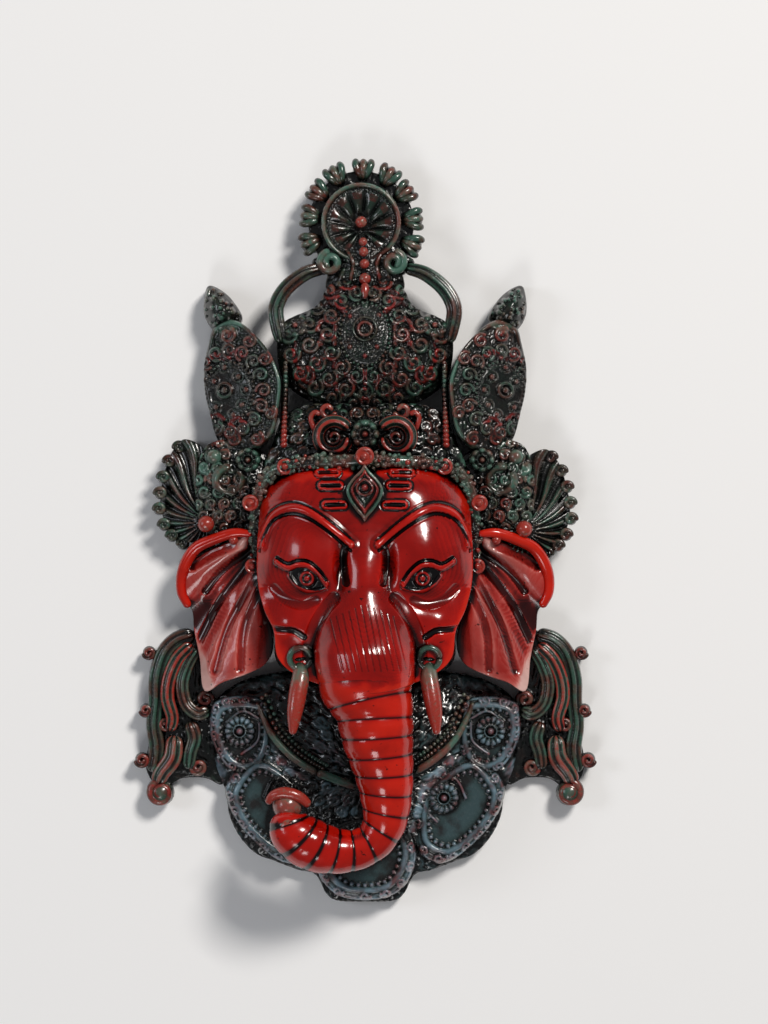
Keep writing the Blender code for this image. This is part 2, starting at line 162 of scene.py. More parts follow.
def near(sheet, path, reach):
    """Points within reach of a line, and how far off it they are."""
    line = np.array(path, dtype=float)[:, :2]
    low = line.min(axis=0) - reach
    high = line.max(axis=0) + reach
    inside = (sheet.x > low[0]) & (sheet.x < high[0]) & (sheet.y > low[1]) & (sheet.y < high[1])
    found = np.nonzero(inside)[0]
    if len(found) == 0:
        return found, np.zeros(0)
    px = sheet.x[found]
    py = sheet.y[found]
    best = np.full(len(found), np.inf)
    for (ax, ay), (bx, by) in zip(line[:-1], line[1:]):
        dx = bx - ax
        dy = by - ay
        span = max(dx * dx + dy * dy, 1e-9)
        t = np.clip(((px - ax) * dx + (py - ay) * dy) / span, 0.0, 1.0)
        best = np.minimum(best, (px - ax - t * dx) ** 2 + (py - ay - t * dy) ** 2)
    keep = best < reach * reach
    return found[keep], np.sqrt(best[keep])


def wire(sheet, path, half, high, red=None, power=0.5):
    """A raised wire along a line; a negative height cuts a groove."""
    found, off = near(sheet, path, half)
    lift = (1.0 - (off / half) ** 2) ** power
    sheet.lift(found, high * lift)
    if red is not None:
        sheet.red[found[lift > 0.2]] = red


def bend(sheet, points, side, half, high, red=None):
    """A smooth wire through right-hand places, drawn on one side of the mask."""
    wire(sheet, smooth_line(mirrored(points, side)), half, high, red)


def dot(sheet, x, y, half, high, red=None):
    """One bead or boss."""
    wire(sheet, [(x, y), (x, y)], half, high, red)


def beads(sheet, path, gap, half, high, red=None):
    """A row of beads at equal spacing along a line."""
    line = np.array(path, dtype=float)[:, :2]
    steps = np.hypot(*(line[1:] - line[:-1]).T)
    run = np.concatenate([[0.0], np.cumsum(steps)])
    count = max(2, int(run[-1] / gap))
    for spot in np.linspace(0.0, run[-1], count):
        x, y = [np.interp(spot, run, line[:, axis]) for axis in (0, 1)]
        dot(sheet, x, y, half, high, red)


# %% Flowers, pebbles, curls and swellings
def rosette(sheet, x, y, radius, petals, high):
    """A round flower: petals, a pit and a boss rubbed back to red."""
    found, off = near(sheet, [(x, y), (x, y)], radius * 1.08)
    angle = np.arctan2(sheet.y[found] - y, sheet.x[found] - x)
    share = off / radius
    boss_share = 0.27
    petal = np.abs(np.cos(petals * angle / 2)) ** 0.6
    edge = np.clip((0.92 + 0.10 * petal - share) * 9, 0, 1)
    swell = np.sin(np.clip((share - 0.42) / 0.58, 0, 1) * math.pi) ** 0.6
    body = high * (0.45 + 0.55 * petal) * swell
    collar = high * 0.9 * np.exp(-((share - 0.38) / 0.07) ** 2)
    boss = high * 1.25 * np.sqrt(np.clip(1 - (share / boss_share) ** 2, 0, 1))
    sheet.lift(found, (0.25 * high + body + collar + boss) * edge)
    sheet.red[found] = np.maximum(sheet.red[found], 0.6 * (share < boss_share))


def pebbles(sheet, inside, gap, high, seed=3.1):
    """Fill part of a sheet with small irregular grains."""
    found = np.nonzero(inside)[0]
    px = sheet.x[found] / gap
    py = sheet.y[found] / gap
    best = np.full(len(found), 9.0)
    for i in (-1, 0, 1):
        for j in (-1, 0, 1):
            cx = np.floor(px) + i
            cy = np.floor(py) + j
            hx = np.modf(np.abs(np.sin(cx * 127.1 + cy * 311.7 + seed) * 43758.5))[0]
            hy = np.modf(np.abs(np.sin(cx * 269.5 + cy * 183.3 + seed) * 24634.6))[0]
            spot_x = cx + 0.5 + 0.8 * (hx - 0.5)
            spot_y = cy + 0.5 + 0.8 * (hy - 0.5)
            size = 0.08 + 0.22 * hx * hy
            best = np.minimum(best, ((px - spot_x) ** 2 + (py - spot_y) ** 2) / size)
    sheet.z[found] += high * np.sqrt(np.clip(1 - best, 0, 1))


def scrollwork(sheet, gap, high, seed=0.0, rub=0.45):
    """Fill a sheet with curls on a loose grid, the same on both sides of the mask."""
    side = 1 if sheet.x.mean() >= 0 else -1
    for row, y in enumerate(np.arange(sheet.y.min(), sheet.y.max() + gap, gap * 0.87)):
        for column in range(int(np.abs(sheet.x).max() / gap) + 1):
            x = gap * (column + 0.5 * (row % 2))
            chance = math.modf(abs(math.sin(seed + 12.9 * column + 78.2 * row)) * 43758.5)[0]
            hand = 1 if chance > 0.5 else -1
            for way in (side, -side):
                curl = scroll(x, y, gap * 0.46, gap * 0.1, 360 * chance, 1.3, hand, 16)
                wire(sheet, mirrored(curl, way), gap * 0.16, high, red=rub if chance > 0.8 else 0.0)


def bump(x, y, spot_x, spot_y, wide, tall, high):
    """A soft swelling."""
    return high * np.exp(-((x - spot_x) / wide) ** 2 - ((y - spot_y) / tall) ** 2)


# %% [markdown]
# ## Making meshes
#
# One operator makes nearly everything: a grid. Rolled round its first row it gives a closed plate
# with a carved top and a flat back; rolled along a line it gives a tapering tube for the trunk,
# tusks and scrolls. Spin turns the small studs and cups. All are welded shut with remove_doubles.
# A UV sphere would do for the plates, but it spends half of its faces on the hidden back.

# %% Rolled grids and plates
# Plates start this far above the floor, so that nothing dips under the flat back.
ROOT = 0.6


def mesh_points(mesh):
    """Read a mesh's points as an array."""
    flat = np.empty(len(mesh.vertices) * 3)
    mesh.vertices.foreach_get("co", flat)
    return flat.reshape(-1, 3)


def mark_red(mesh, values):
    """Store how far each point was rubbed back to red; below zero, its darkening: wax, and on a few
    marks painted shade.
    """
    layer = mesh.attributes.new("red", "FLOAT", "POINT")
    layer.data.foreach_set("value", np.asarray(values, dtype=np.float32))


def rolled_grid(rows, columns):
    """A grid to be rolled up: its mesh, and each point's row and turn round."""
    bm = bmesh.new()
    bmesh.ops.create_grid(bm, x_segments=rows, y_segments=columns, size=1.0)
    mesh = bpy.data.meshes.new("grid")
    bm.to_mesh(mesh)
    bm.free()
    spots = mesh_points(mesh)
    row = np.round((spots[:, 0] + 1) / 2 * rows).astype(int)
    turn = np.round((spots[:, 1] + 1) / 2 * columns) / columns
    return mesh, row, np.where(turn > 0.9999, 0.0, turn) * 2 * math.pi


def weld_shut(mesh):
    """Weld the seam and the poles, close what is open, and turn the faces outwards."""
    bm = bmesh.new()
    bm.from_mesh(mesh)
    bmesh.ops.remove_doubles(bm, verts=bm.verts, dist=0.000002)
    bmesh.ops.holes_fill(bm, edges=[edge for edge in bm.edges if edge.is_boundary], sides=0)
    bmesh.ops.recalc_face_normals(bm, faces=bm.faces)
    bm.to_mesh(mesh)
    bm.free()
    return mesh


def plate(rim, centre, carve, sectors, rings, floor=ROOT):
    """A closed plate with the outline of the rim, carved on top."""
    line = smooth_line(rim, closed=True)
    offset = line[:, :2] - np.array(centre)
    angles = np.arctan2(offset[:, 1], offset[:, 0])
    order = np.argsort(angles)
    reaches = np.hypot(offset[:, 0], offset[:, 1])[order]
    sectors = max(12, int(sectors * FINE))
    rings = max(3, int(rings * FINE))
    mesh, row, angle = rolled_grid(rings + 1, sectors)
    share = np.minimum(row, rings) / rings
    reach = share * np.interp(angle, angles[order], reaches, period=2 * math.pi)
    x = centre[0] + reach * np.cos(angle)
    y = centre[1] + reach * np.sin(angle)
    sheet = Sheet(x, y, share)
    carve(sheet)
    upper = row <= rings
    pole = row == 0
    sheet.z[pole] = sheet.z[pole].mean()
    z = np.where(upper, sheet.z, floor)
    mesh.vertices.foreach_set("co", (np.column_stack([x, y, z]) * STEP).ravel())
    mark_red(mesh, np.where(upper, sheet.red, 0.0))
    return weld_shut(mesh)


def disc(x, y, radius, carve, sectors, rings, floor=ROOT):
    """A round plate."""
    return plate(ring(x, y, radius)[:-1], (x, y), carve, sectors, rings, floor)


# %% Tubes and their ridges
def tube(points, sides=20, span=10, shape=None, red=0.0):
    """A tapering tube with round ends along points (x, y, height, radius)."""
    line = smooth_line(points, span=max(3, int(span * FINE)))
    lengths = np.linalg.norm(line[1:, :3] - line[:-1, :3], axis=1)
    run = np.concatenate([[0.0], np.cumsum(lengths)])
    total = run[-1]
    # Rows close together near each end make it round.
    near_end = np.array([0.0, 0.08, 0.25, 0.5, 0.75])
    ends = [near_end * line[0, 3], total - near_end * line[-1, 3]]
    spots = np.unique(np.concatenate([run] + ends))
    place = np.column_stack([np.interp(spots, run, line[:, axis]) for axis in range(3)])
    radius = np.interp(spots, run, line[:, 3])
    cap = np.clip(np.minimum(spots / line[0, 3], (total - spots) / line[-1, 3]), 0, 1)
    radius = radius * np.sqrt(np.clip(1 - (1 - cap) ** 2, 0, 1))
    ahead = np.gradient(place, axis=0)
    ahead /= np.linalg.norm(ahead, axis=1)[:, None]
    across = np.cross(ahead, (0.0, 0.0, 1.0))
    across /= np.maximum(np.linalg.norm(across, axis=1), 1e-6)[:, None]
    normal = np.cross(across, ahead)
    mesh, row, angle = rolled_grid(len(spots) - 1, sides)
    reach = radius[row]
    if shape is not None:
        reach = reach * shape(spots[row], angle)
    points = place[row] + across[row] * (reach * np.cos(angle))[:, None]
    points = points + normal[row] * (reach * np.sin(angle))[:, None]
    mesh.vertices.foreach_set("co", (points * STEP).ravel())
    mark_red(mesh, red(spots[row], angle) if callable(red) else np.full(len(row), red))
    return weld_shut(mesh)


def ribbed(ridges=1, depth=0.16):
    """A tube section with ridges along its upper side, as the scrolls have."""
    def shape(along, angle):
        return 1.0 + depth * np.cos(ridges * 2 * (angle - math.pi / 2)) - depth / 2
    return shape


def banded(along, angle):
    """Three ridges along the upper side of a band."""
    top = np.clip(np.sin(angle), 0, 1)
    return 1.0 - 0.14 * top + 0.16 * top * np.cos(6 * (angle - math.pi / 2))


def banded_wax(along, angle):
    """Wax on a band, thickest in the grooves between its ridges."""
    return -0.40 - 0.60 * np.clip(0.1 - np.cos(6 * (angle - math.pi / 2)), 0, 1)


def rubbed_band(rub):
    """Wax in a band's grooves, and one rub on all of its ridges."""
    def red(along, angle):
        wax = banded_wax(along, angle)
        return np.where(wax < -0.45, wax, rub)
    return red


def edge_rub(along, angle):
    """A dark curl rubbed back to red along its upper ridge."""
    return np.where(np.cos(4 * (angle - math.pi / 2)) > 0.3, 0.9, -0.9)


# %% Studs and cups
def turned(profile, x, y, z, red=0.0, sides=14):
    """A stud, cup or knob spun from a profile of (radius, height) pairs."""
    bm = bmesh.new()
    verts = [bm.verts.new((radius * STEP, 0.0, high * STEP)) for radius, high in profile]
    edges = [bm.edges.new(pair) for pair in zip(verts[:-1], verts[1:])]
    bmesh.ops.spin(
        bm, geom=verts + edges, cent=(0, 0, 0), axis=(0, 0, 1), angle=2 * math.pi, steps=sides,
        use_merge=True)
    bmesh.ops.remove_doubles(bm, verts=bm.verts, dist=0.00001)
    bmesh.ops.recalc_face_normals(bm, faces=bm.faces)
    bmesh.ops.translate(bm, verts=bm.verts, vec=Vector((x, y, z)) * STEP)
    mesh = bpy.data.meshes.new("stud")
    bm.to_mesh(mesh)
    bm.free()
    mark_red(mesh, np.full(len(mesh.vertices), red))
    return mesh


def stud(x, y, z, radius, red=0.0, sides=14):
    """A round bead on its seat."""
    profile = [(0, -radius), (radius * 0.8, -radius * 0.6), (radius, 0),
               (radius * 0.87, radius * 0.5), (radius * 0.5, radius * 0.87), (0, radius)]
    return turned(profile, x, y, z, red, sides)


def cup(x, y, z, radius):
    """A red drop like an upturned cup with a bead inside its rolled lip."""
    r = radius
    profile = [(0, -r), (r, -0.8 * r), (1.05 * r, 0), (0.95 * r, 0.35 * r), (0.75 * r, 0.4 * r),
               (0.6 * r, 0.1 * r), (0.45 * r, 0.1 * r), (0.3 * r, 0.55 * r), (0, 0.6 * r)]
    return turned(profile, x, y, z, red=1.0, sides=18)


# %% Finished pieces
pieces = []


def piece(name, meshes, finish):
    """Join meshes into one named piece that rides with the casting."""
    bm = bmesh.new()
    for mesh in meshes:
        bm.from_mesh(mesh)
    joined = bpy.data.meshes.new(name)
    bm.to_mesh(joined)
    bm.free()
    for mesh in meshes:
        bpy.data.meshes.remove(mesh)
    joined.shade_smooth()
    item = bpy.data.objects.new(name, joined)
    bpy.context.scene.collection.objects.link(item)
    joined.materials.append(finish)
    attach(item, "root")
    pieces.append(item)
    print(name, len(joined.polygons), "faces")
    return item


# %% [markdown]
# ## The finishes
#
# Face, ears and trunk are gloss lacquer: a dielectric film with IOR about 1.5, bright red where it
# is thick, lighter where an edge wears through, near black where dark wax stays in the folds. The
# ears are pinker and paler, a painted pink sheen. All the rest, with the tusks and the tip of the
# trunk, carries a green-black copper patina over the same red, with a painted blue-grey sheen on
# the collar, and what a cloth could reach is rubbed back. All read one number, a point's height
# over its surroundings, which is measured after all pieces are made.

# %% Colours and nodes
def colour(code):
    """Turn an sRGB hex colour into linear values."""
    parts = [int(code[index:index + 2], 16) / 255 for index in (1, 3, 5)]
    linear = [part / 12.92 if part <= 0.04045 else ((part + 0.055) / 1.055) ** 2.4
              for part in parts]
    return (*linear, 1.0)


def add(tree, kind, links=None, inputs=None, stops=(), **settings):
    """Add one node with its settings, fixed values, colour stops and incoming links."""
    node = tree.nodes.new(kind)
    for key, value in settings.items():
        setattr(node, key, value)
    for key, value in (inputs or {}).items():
        node.inputs[key].default_value = value
    for key, source in (links or {}).items():
        tree.links.new(source, node.inputs[key])
    for _ in stops[2:]:
        node.color_ramp.elements.new(1.0)
    for index, (place, code) in enumerate(stops):
        element = node.color_ramp.elements[index]
        element.position = place
        element.color = colour(code)
    return node


def start_finish(name):
    """A new material, its nodes and its shader."""
    finish = bpy.data.materials.new(name)
    finish.use_nodes = True
    tree = finish.node_tree
    return finish, tree, tree.nodes["Principled BSDF"]


# A noise with a scale of MM / 30 has clouds 30 mm across.
MM = 1000.0


# %% Red lacquer
def red_lacquer(name, shades):
    """Gloss red lacquer over resin, waxed black in its creases."""
    finish, tree, shader = start_finish(name)
    spots = add(tree, "ShaderNodeTexCoord").outputs["Object"]
    cavity = add(tree, "ShaderNodeAttribute", attribute_name="cavity").outputs["Fac"]
    # Clouds 30 mm across make the lacquer thicker and thinner.
    cloud = add(tree, "ShaderNodeTexNoise", {"Vector": spots}, {"Scale": MM / 30, "Detail": 5.0})
    levels = (0.14, 0.36, 0.5, 0.66, 0.95)
    shade = add(tree, "ShaderNodeValToRGB", {"Fac": cavity}, stops=tuple(zip(levels, shades)))
    thick = add(tree, "ShaderNodeValToRGB", {"Fac": cloud.outputs["Fac"]},
                stops=((0.35, "#7A0B06"), (0.6, "#FFFFFF")))
    tone = add(tree, "ShaderNodeMix", {6: shade.outputs["Color"], 7: thick.outputs["Color"]},
               {0: 0.4}, data_type="RGBA", blend_type="MULTIPLY")
    # Wax is left on the smooth parts in specks: only the peaks of a noise 4.5 mm across.
    fleck = add(tree, "ShaderNodeTexNoise", {"Vector": spots}, {"Scale": MM / 4.5, "Detail": 2.0})
    specks = add(tree, "ShaderNodeMapRange", {"Value": fleck.outputs["Fac"]},
                 {"From Min": 0.70, "From Max": 0.74, "To Max": 0.85})
    spotted = add(tree, "ShaderNodeMix", {0: specks.outputs["Result"], 6: tone.outputs[2]},
                  {7: colour("#120403")}, data_type="RGBA")
    tree.links.new(spotted.outputs[2], shader.inputs["Base Color"])
    gloss = add(tree, "ShaderNodeMapRange", {"Value": cloud.outputs["Fac"]},
                {"From Min": 0.3, "From Max": 0.7, "To Min": 0.12, "To Max": 0.25})
    tree.links.new(gloss.outputs["Result"], shader.inputs["Roughness"])
    # The brushed film is uneven over 9 mm.
    film = add(tree, "ShaderNodeTexNoise", {"Vector": spots}, {"Scale": MM / 9, "Detail": 6.0})
    lumps = add(tree, "ShaderNodeBump", {"Height": film.outputs["Fac"]},
                {"Strength": 0.3, "Distance": 0.0008})
    tree.links.new(lumps.outputs["Normal"], shader.inputs["Normal"])
    shader.inputs["Specular IOR Level"].default_value = 0.4
    shader.inputs["Coat Weight"].default_value = 0.35
    shader.inputs["Coat Roughness"].default_value = 0.05
    return finish


# %% Patina over red
def copper_patina(name, greens):
    """Dark patina over red, rubbed back on the high places."""
    finish, tree, shader = start_finish(name)
    spots = add(tree, "ShaderNodeTexCoord").outputs["Object"]
    cavity = add(tree, "ShaderNodeAttribute", attribute_name="cavity").outputs["Fac"]
    rubbed = add(tree, "ShaderNodeAttribute", attribute_name="red").outputs["Fac"]
    # Patches 16 mm across are green or brown, and grain 3 mm across breaks up every edge.
    cloud = add(tree, "ShaderNodeTexNoise", {"Vector": spots}, {"Scale": MM / 16, "Detail": 6.0})
    grain = add(tree, "ShaderNodeTexNoise", {"Vector": spots}, {"Scale": MM / 3, "Detail": 5.0})
    levels = (0.30, 0.48, 0.60, 0.76, 0.96)
    browns = ("#020202", "#160A08", "#38170F", "#5A241B", "#744039")
    reds = ("#050101", "#2A0504", "#600C08", "#881711", "#9A3126")
    green, brown, scarlet = [
        add(tree, "ShaderNodeValToRGB", {"Fac": cavity}, stops=tuple(zip(levels, codes)))
        for codes in (greens, browns, reds)]
    patch = add(tree, "ShaderNodeMapRange", {"Value": cloud.outputs["Fac"]},
                {"From Min": 0.44, "From Max": 0.62, "To Max": 0.85})
    body = add(tree, "ShaderNodeMix", {
        0: patch.outputs["Result"], 6: green.outputs["Color"], 7: brown.outputs["Color"]},
        data_type="RGBA")
    worn = add(tree, "ShaderNodeMath", {0: rubbed, 1: grain.outputs["Fac"]}, operation="MULTIPLY")
    strong = add(tree, "ShaderNodeMapRange", {"Value": worn.outputs["Value"]},
                 {"From Min": 0.12, "From Max": 0.45})
    final = add(tree, "ShaderNodeMix", {
        0: strong.outputs["Result"], 6: body.outputs[2], 7: scarlet.outputs["Color"]},
        data_type="RGBA")
    tree.links.new(final.outputs[2], shader.inputs["Base Color"])
    gloss = add(tree, "ShaderNodeMapRange", {"Value": grain.outputs["Fac"]},
                {"From Min": 0.3, "From Max": 0.7, "To Min": 0.14, "To Max": 0.34})
    tree.links.new(gloss.outputs["Result"], shader.inputs["Roughness"])
    lumps = add(tree, "ShaderNodeBump", {"Height": grain.outputs["Fac"]},
                {"Strength": 0.5, "Distance": 0.0007})
    tree.links.new(lumps.outputs["Normal"], shader.inputs["Normal"])
    shader.inputs["Coat Weight"].default_value = 0.5
    shader.inputs["Coat Roughness"].default_value = 0.1
    return finish


# %% The four finishes
# Brushed lacquer on resin: a clear, hard shine over deep red, with black left in the creases.
LACQUER = red_lacquer(
    "red_gloss_lacquer", ("#030102", "#2C0302", "#960B04", "#B81205", "#CA220C"))
# The same lacquer with a painted pink sheen: the ridges of the ears go pink and pale, as under a
# broad reflection.
EAR_SHEEN_LACQUER = red_lacquer(
    "pink_sheen_lacquer", ("#040102", "#3A0807", "#A82C26", "#C46A62", "#D8B0A8"))
# Waxed patina: almost black in its depths, green on the swellings, with red where it is rubbed.
PATINA = copper_patina(
    "verdigris_over_red", ("#020302", "#0E1813", "#22372B", "#38564A", "#4E7264"))
# The same patina with a painted blue-grey sheen in its middle and upper tones, the reflection on
# the collar's smooth fields.
SHEEN_SLATE = copper_patina(
    "blue_grey_sheen_patina", ("#040606", "#34484A", "#566E78", "#748C9A", "#A0B8C4"))
print("finishes", [finish.name for finish in (LACQUER, EAR_SHEEN_LACQUER, PATINA, SHEEN_SLATE)])

# %% [markdown]
# ## The face
#
# The elephant's brow, cheeks and trunk root are one soft dome with swellings. Cuts give the
# brows, the ringed eyes, the folds beside the nose and the fine scored lines on the trunk root.
# The root follows the trunk's own tube, so that the two meet without a seam.

# %% Form of the face
FACE_CENTRE = (0.0, -48.0)
FACE_HALF = (116.0, 140.0)
FACE_EDGE = 50.0
FACE_RISE = 62.0
EYE = (57.0, -46.5)
TRUNK_SPINE = [
    (0, -44, 70, 22), (0, -64, 83, 33), (0, -84, 87, 42), (0, -104, 93, 49), (0, -122, 98, 51),
    (2, -150, 105, 47), (9, -176, 108, 39), (13, -204, 109, 35), (18, -232, 108, 30),
    (21, -258, 106, 26), (20, -284, 103, 22), (10, -304, 101, 19.5), (-8, -314, 101, 20),
    (-28, -315, 103, 22.5), (-49, -310, 107, 25), (-67, -299, 110, 24), (-76, -286, 110, 20),
    (-78, -276, 107, 13),
]
# The face's skin follows the first eight of these, and the trunk's own tube starts at the fourth.
ROOT_POINTS = 8
TUBE_START = 3


def face_height(x, y):
    """The face before its eyes and brows are cut."""
    u = np.abs(x - FACE_CENTRE[0]) / FACE_HALF[0]
    v = np.abs(y - FACE_CENTRE[1]) / FACE_HALF[1]
    high = FACE_EDGE + FACE_RISE * np.sqrt(np.clip(1.0 - u ** 2.6 - v ** 2.6, 0.0, 1.0))
    for side in (-1, 1):
        high = high + bump(x, y, side * 48, 38, 40, 26, 5)
        high = high + bump(x, y, side * 62, -20, 32, 34, 9)
        high = high + bump(x, y, side * 66, -66, 32, 11, -6)
        high = high + bump(x, y, side * 80, -94, 22, 24, 10)
        high = high + bump(x, y, side * 24, -36, 6, 22, -10)
    high = high + bump(x, y, 0, -42, 18, 34, 10)
    return high + bump(x, y, 0, -96, 44, 34, 14)


def trunk_root(x, y):
    """The upper side of the trunk's tube where it grows out of the face."""
    spine = smooth_line(TRUNK_SPINE[:ROOT_POINTS])
    order = np.argsort(spine[:, 1])
    centre = np.interp(y, spine[order, 1], spine[order, 0])
    high = np.interp(y, spine[order, 1], spine[order, 2])
    radius = np.interp(y, spine[order, 1], spine[order, 3])
    top = high + np.sqrt(np.clip(radius ** 2 - (x - centre) ** 2, 0.0, None))
    over = 2.4 * np.clip((y + 150) / 30, 0, 1) - 1.2
    return top + over - 60 * np.clip((y + 56) / 24, 0, 1)


# %% Face
def carve_face(sheet):
    """Skin, brows, eyes, folds, forehead bars and the scored trunk root."""
    x = sheet.x
    y = sheet.y
    skin = face_height(x, y)
    root = trunk_root(x, y)
    mix = np.clip(0.5 + (skin - root) / 36.0, 0, 1)
    sheet.z = root + (skin - root) * mix + 18.0 * mix * (1 - mix)
    for side in (-1, 1):
        brow = smooth_line(mirrored(
            [(14, -13), (35, 5), (56, 19), (73, 23), (91, 16), (102, -2), (105, -14)], side))
        wire(sheet, brow, 9.0, 2.0, power=1.0)
        wire(sheet, brow, 4.4, 5.0)
        for lift, half, deep, wax in ((-5.8, 1.8, -2.4, -0.85), (6.0, 1.3, -1.2, -0.4)):
            wire(sheet, brow + np.array([0, lift]), half, deep, red=wax)
        upper = [(38, -54), (45, -44), (55, -36), (66, -35), (76, -38), (87, -32)]
        lower = [(38, -54), (47, -56), (57, -57), (66, -52), (74, -42)]
        inner = np.hypot((x - side * 56) / 19.0, (y + 47 - side * 0.25 * (x - side * 56)) / 10.5)
        well = inner < 1
        sheet.z[well] -= 2.5 * (1 - inner[well] ** 4)
        sheet.red[well] = -1.0
        lid = smooth_line(mirrored(upper, side))
        wire(sheet, lid + np.array([0, 2.0]), 3.0, 3.6, red=0.0)
        wire(sheet, lid + np.array([0, 6.2]), 1.8, -2.4, red=-1.0)
        wire(sheet, smooth_line(mirrored(lower, side)) - np.array([0, 1.5]), 2.2, 2.2)
        spot = (side * EYE[0], EYE[1])
        found, off = near(sheet, [spot, spot], 10.0)
        sheet.z[found] += 4.0 * np.sqrt(np.clip(1 - (off / 10.0) ** 2, 0, 1))
        wire(sheet, ring(*spot, 6.0), 1.5, 1.8)
        dot(sheet, *spot, 3.2, 2.4)
        for iris in (near(sheet, ring(*spot, 6.0), 1.6), near(sheet, [spot, spot], 3.0)):
            sheet.red[iris[0]] = -0.25
        # Painted shade: the fourth value darkens the first fold on the left side only, the side
        # turned away from the lamp.
        folds = (
            ([(19, -16), (21, -26), (20, -38), (18, -51)], 4.0, -3.0, -0.25 * (side < 0)),
            ([(30, -66), (40, -78), (49, -94), (54, -110), (55, -124)], 7.0, -2.5, 0.0),
            ([(92, -96), (82, -97), (70, -98), (60, -104)], 3.4, -3.6, -0.5),
            ([(48, -68), (62, -73), (78, -68), (90, -56)], 5.0, -1.4, 0.0),
        )
        for points, half, high, wax in folds:
            bend(sheet, points, side, half, high, red=wax)
        for row, start in ((58, 28), (45, 25), (26, 21)):
            bar = [(side * start, row), (side * (start + 17), row)]
            wire(sheet, bar, 6.6, -1.0, red=-1.0)
            wire(sheet, bar, 5.0, 4.6, red=0.0)
            wire(sheet, bar, 2.2, -4.0, red=-1.0)
    for row in range(11):
        start = -34 + 6.2 * row
        wire(sheet, [(start, -72 - abs(start) * 0.4), (start + 13, -136)], 0.8, -0.4, red=-0.1)
    # The top middle of the forehead, along the headband, is darkened.
    sheet.red[(y > 58) & (np.abs(x) < 34)] = -0.4


face_rim = outline(66, [
    (60, 64), (93, 57), (103, 34), (106, 0), (107, -44), (100, -76), (90, -98), (86, -124),
    (70, -140), (40, -152)], -158)
face = piece("face", [plate(face_rim, (0, -50), carve_face, 620, 130)], LACQUER)
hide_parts("ganesha_mask")

# %% [markdown]
# ## Third eye, cheeks and tusks
#
# The almond on the forehead is three nested wires round a ringed bead. The tusks are short
# tapering tubes that grow from round sockets in the cheeks.

# %% Third eye and tusks
def carve_third_eye(sheet):
    """Nested wires at shares of the rim, round a ringed bead."""
    sheet.z = 118 - 4 * sheet.share ** 2
    for share, half, high in ((0.93, 1.8, 2.4), (0.68, 1.6, 2.6), (0.45, 1.0, 1.2)):
        reach = half / 17
        found = np.nonzero(np.abs(sheet.share - share) < reach)[0]
        sheet.z[found] += high * np.sqrt(1 - ((sheet.share[found] - share) / reach) ** 2)
    sheet.red += np.where(np.abs(sheet.share - 0.68) < 0.1, 1.0, 0.0)
    wire(sheet, ring(0, 43, 7.5), 1.8, 2.6, red=0.7)
    dot(sheet, 0, 43, 4.0, 4.6, red=0.8)


def carve_cheek(sheet):
    """A round swelling under the tusk's socket."""
    sheet.z = 60 + 27 * np.sqrt(np.clip(1 - sheet.share ** 2, 0, 1))


def tusk_rub(along, angle):
    """Rubbed back to red towards the tip."""
    return np.clip((along - 20) / 40, 0.3, 1.0)


almond = outline(66, [(4, 60), (12, 52), (18, 42), (16, 32), (9, 21), (3, 14)], 9)
piece("third_eye", [plate(almond, (0, 42), carve_third_eye, 120, 34, floor=92)], PATINA)

sockets = []
tusks = []
for side in (-1, 1):
    cheek = [(64, -103), (80, -96), (90, -112), (87, -132), (70, -141), (56, -130)]
    sockets.append(plate(mirrored(cheek, side), (side * 72, -120), carve_cheek, 60, 20, floor=20))
    hoop = [(x, y, 105 + 0.2 * (y + 124), 3.0)
            for x, y in ring(side * 63.5, -125, 10.5, points=24)]
    sockets.append(tube(hoop, sides=10, span=3, red=-0.3))
    # Painted shade: a black filler sits in each socket where its hollow lies in shade.
    pit = [(side * 64, -121, 97, 9.5), (side * 63, -131, 97, 9.5)]
    sockets.append(tube(pit, span=6, red=-1.0))
    path = [(66, -116, 76, 7), (64, -128, 92, 7.6), (63, -142, 102, 8.6), (66, -160, 107, 9),
            (69, -180, 110, 7.5), (71, -200, 111, 3.2)]
    tusks.append(tube(mirrored(path, side), sides=24, red=tusk_rub))
piece("cheek_sockets", sockets, PATINA)
piece("tusks", tusks, PATINA)

# %% [markdown]
# ## Trunk
#
# The trunk is a tube with a bulge between ring grooves, about 15 mm apart. The grooves lean, so
# the groove's place depends on the way round the tube as well as on the way along it.

# %% Trunk
RING_GAP = 18.5
RING_LEAN = 0.16
SMOOTH_ROOT = 36.0
CURL_START = 170.0


def ring_phase(along, angle):
    """The place between rings: a whole number lies in a groove."""
    return (along - 0.5 * RING_GAP) / RING_GAP + RING_LEAN * np.cos(angle)


def ringed(along):
    """How far the rings have set in below the smooth root."""
    return np.clip((along - SMOOTH_ROOT) / 12.0, 0, 1)


def trunk_section(along, angle):
    """Bulges between leaning ring grooves."""
    phase = ring_phase(along, angle)
    groove = np.abs(np.sin(math.pi * phase)) ** 0.45
    fine = np.abs(np.sin(math.pi * (phase * 2 + 0.5))) ** 0.3
    return 1.0 + ringed(along) * (0.055 * (groove - 0.75) + 0.010 * (fine - 0.8))


def trunk_wax(along, angle):
    """Dark wax in the ring grooves, a darker tone over the ringed part, and darker still towards
    the curl.
    """
    phase = ring_phase(along, angle)
    off = np.abs(phase - np.round(phase))
    started = ringed(along)
    curl = np.clip((along - CURL_START) / 90.0, 0, 1)
    return -0.25 * started - 0.40 * curl - 1.2 * np.exp(-(off / 0.10) ** 2) * started


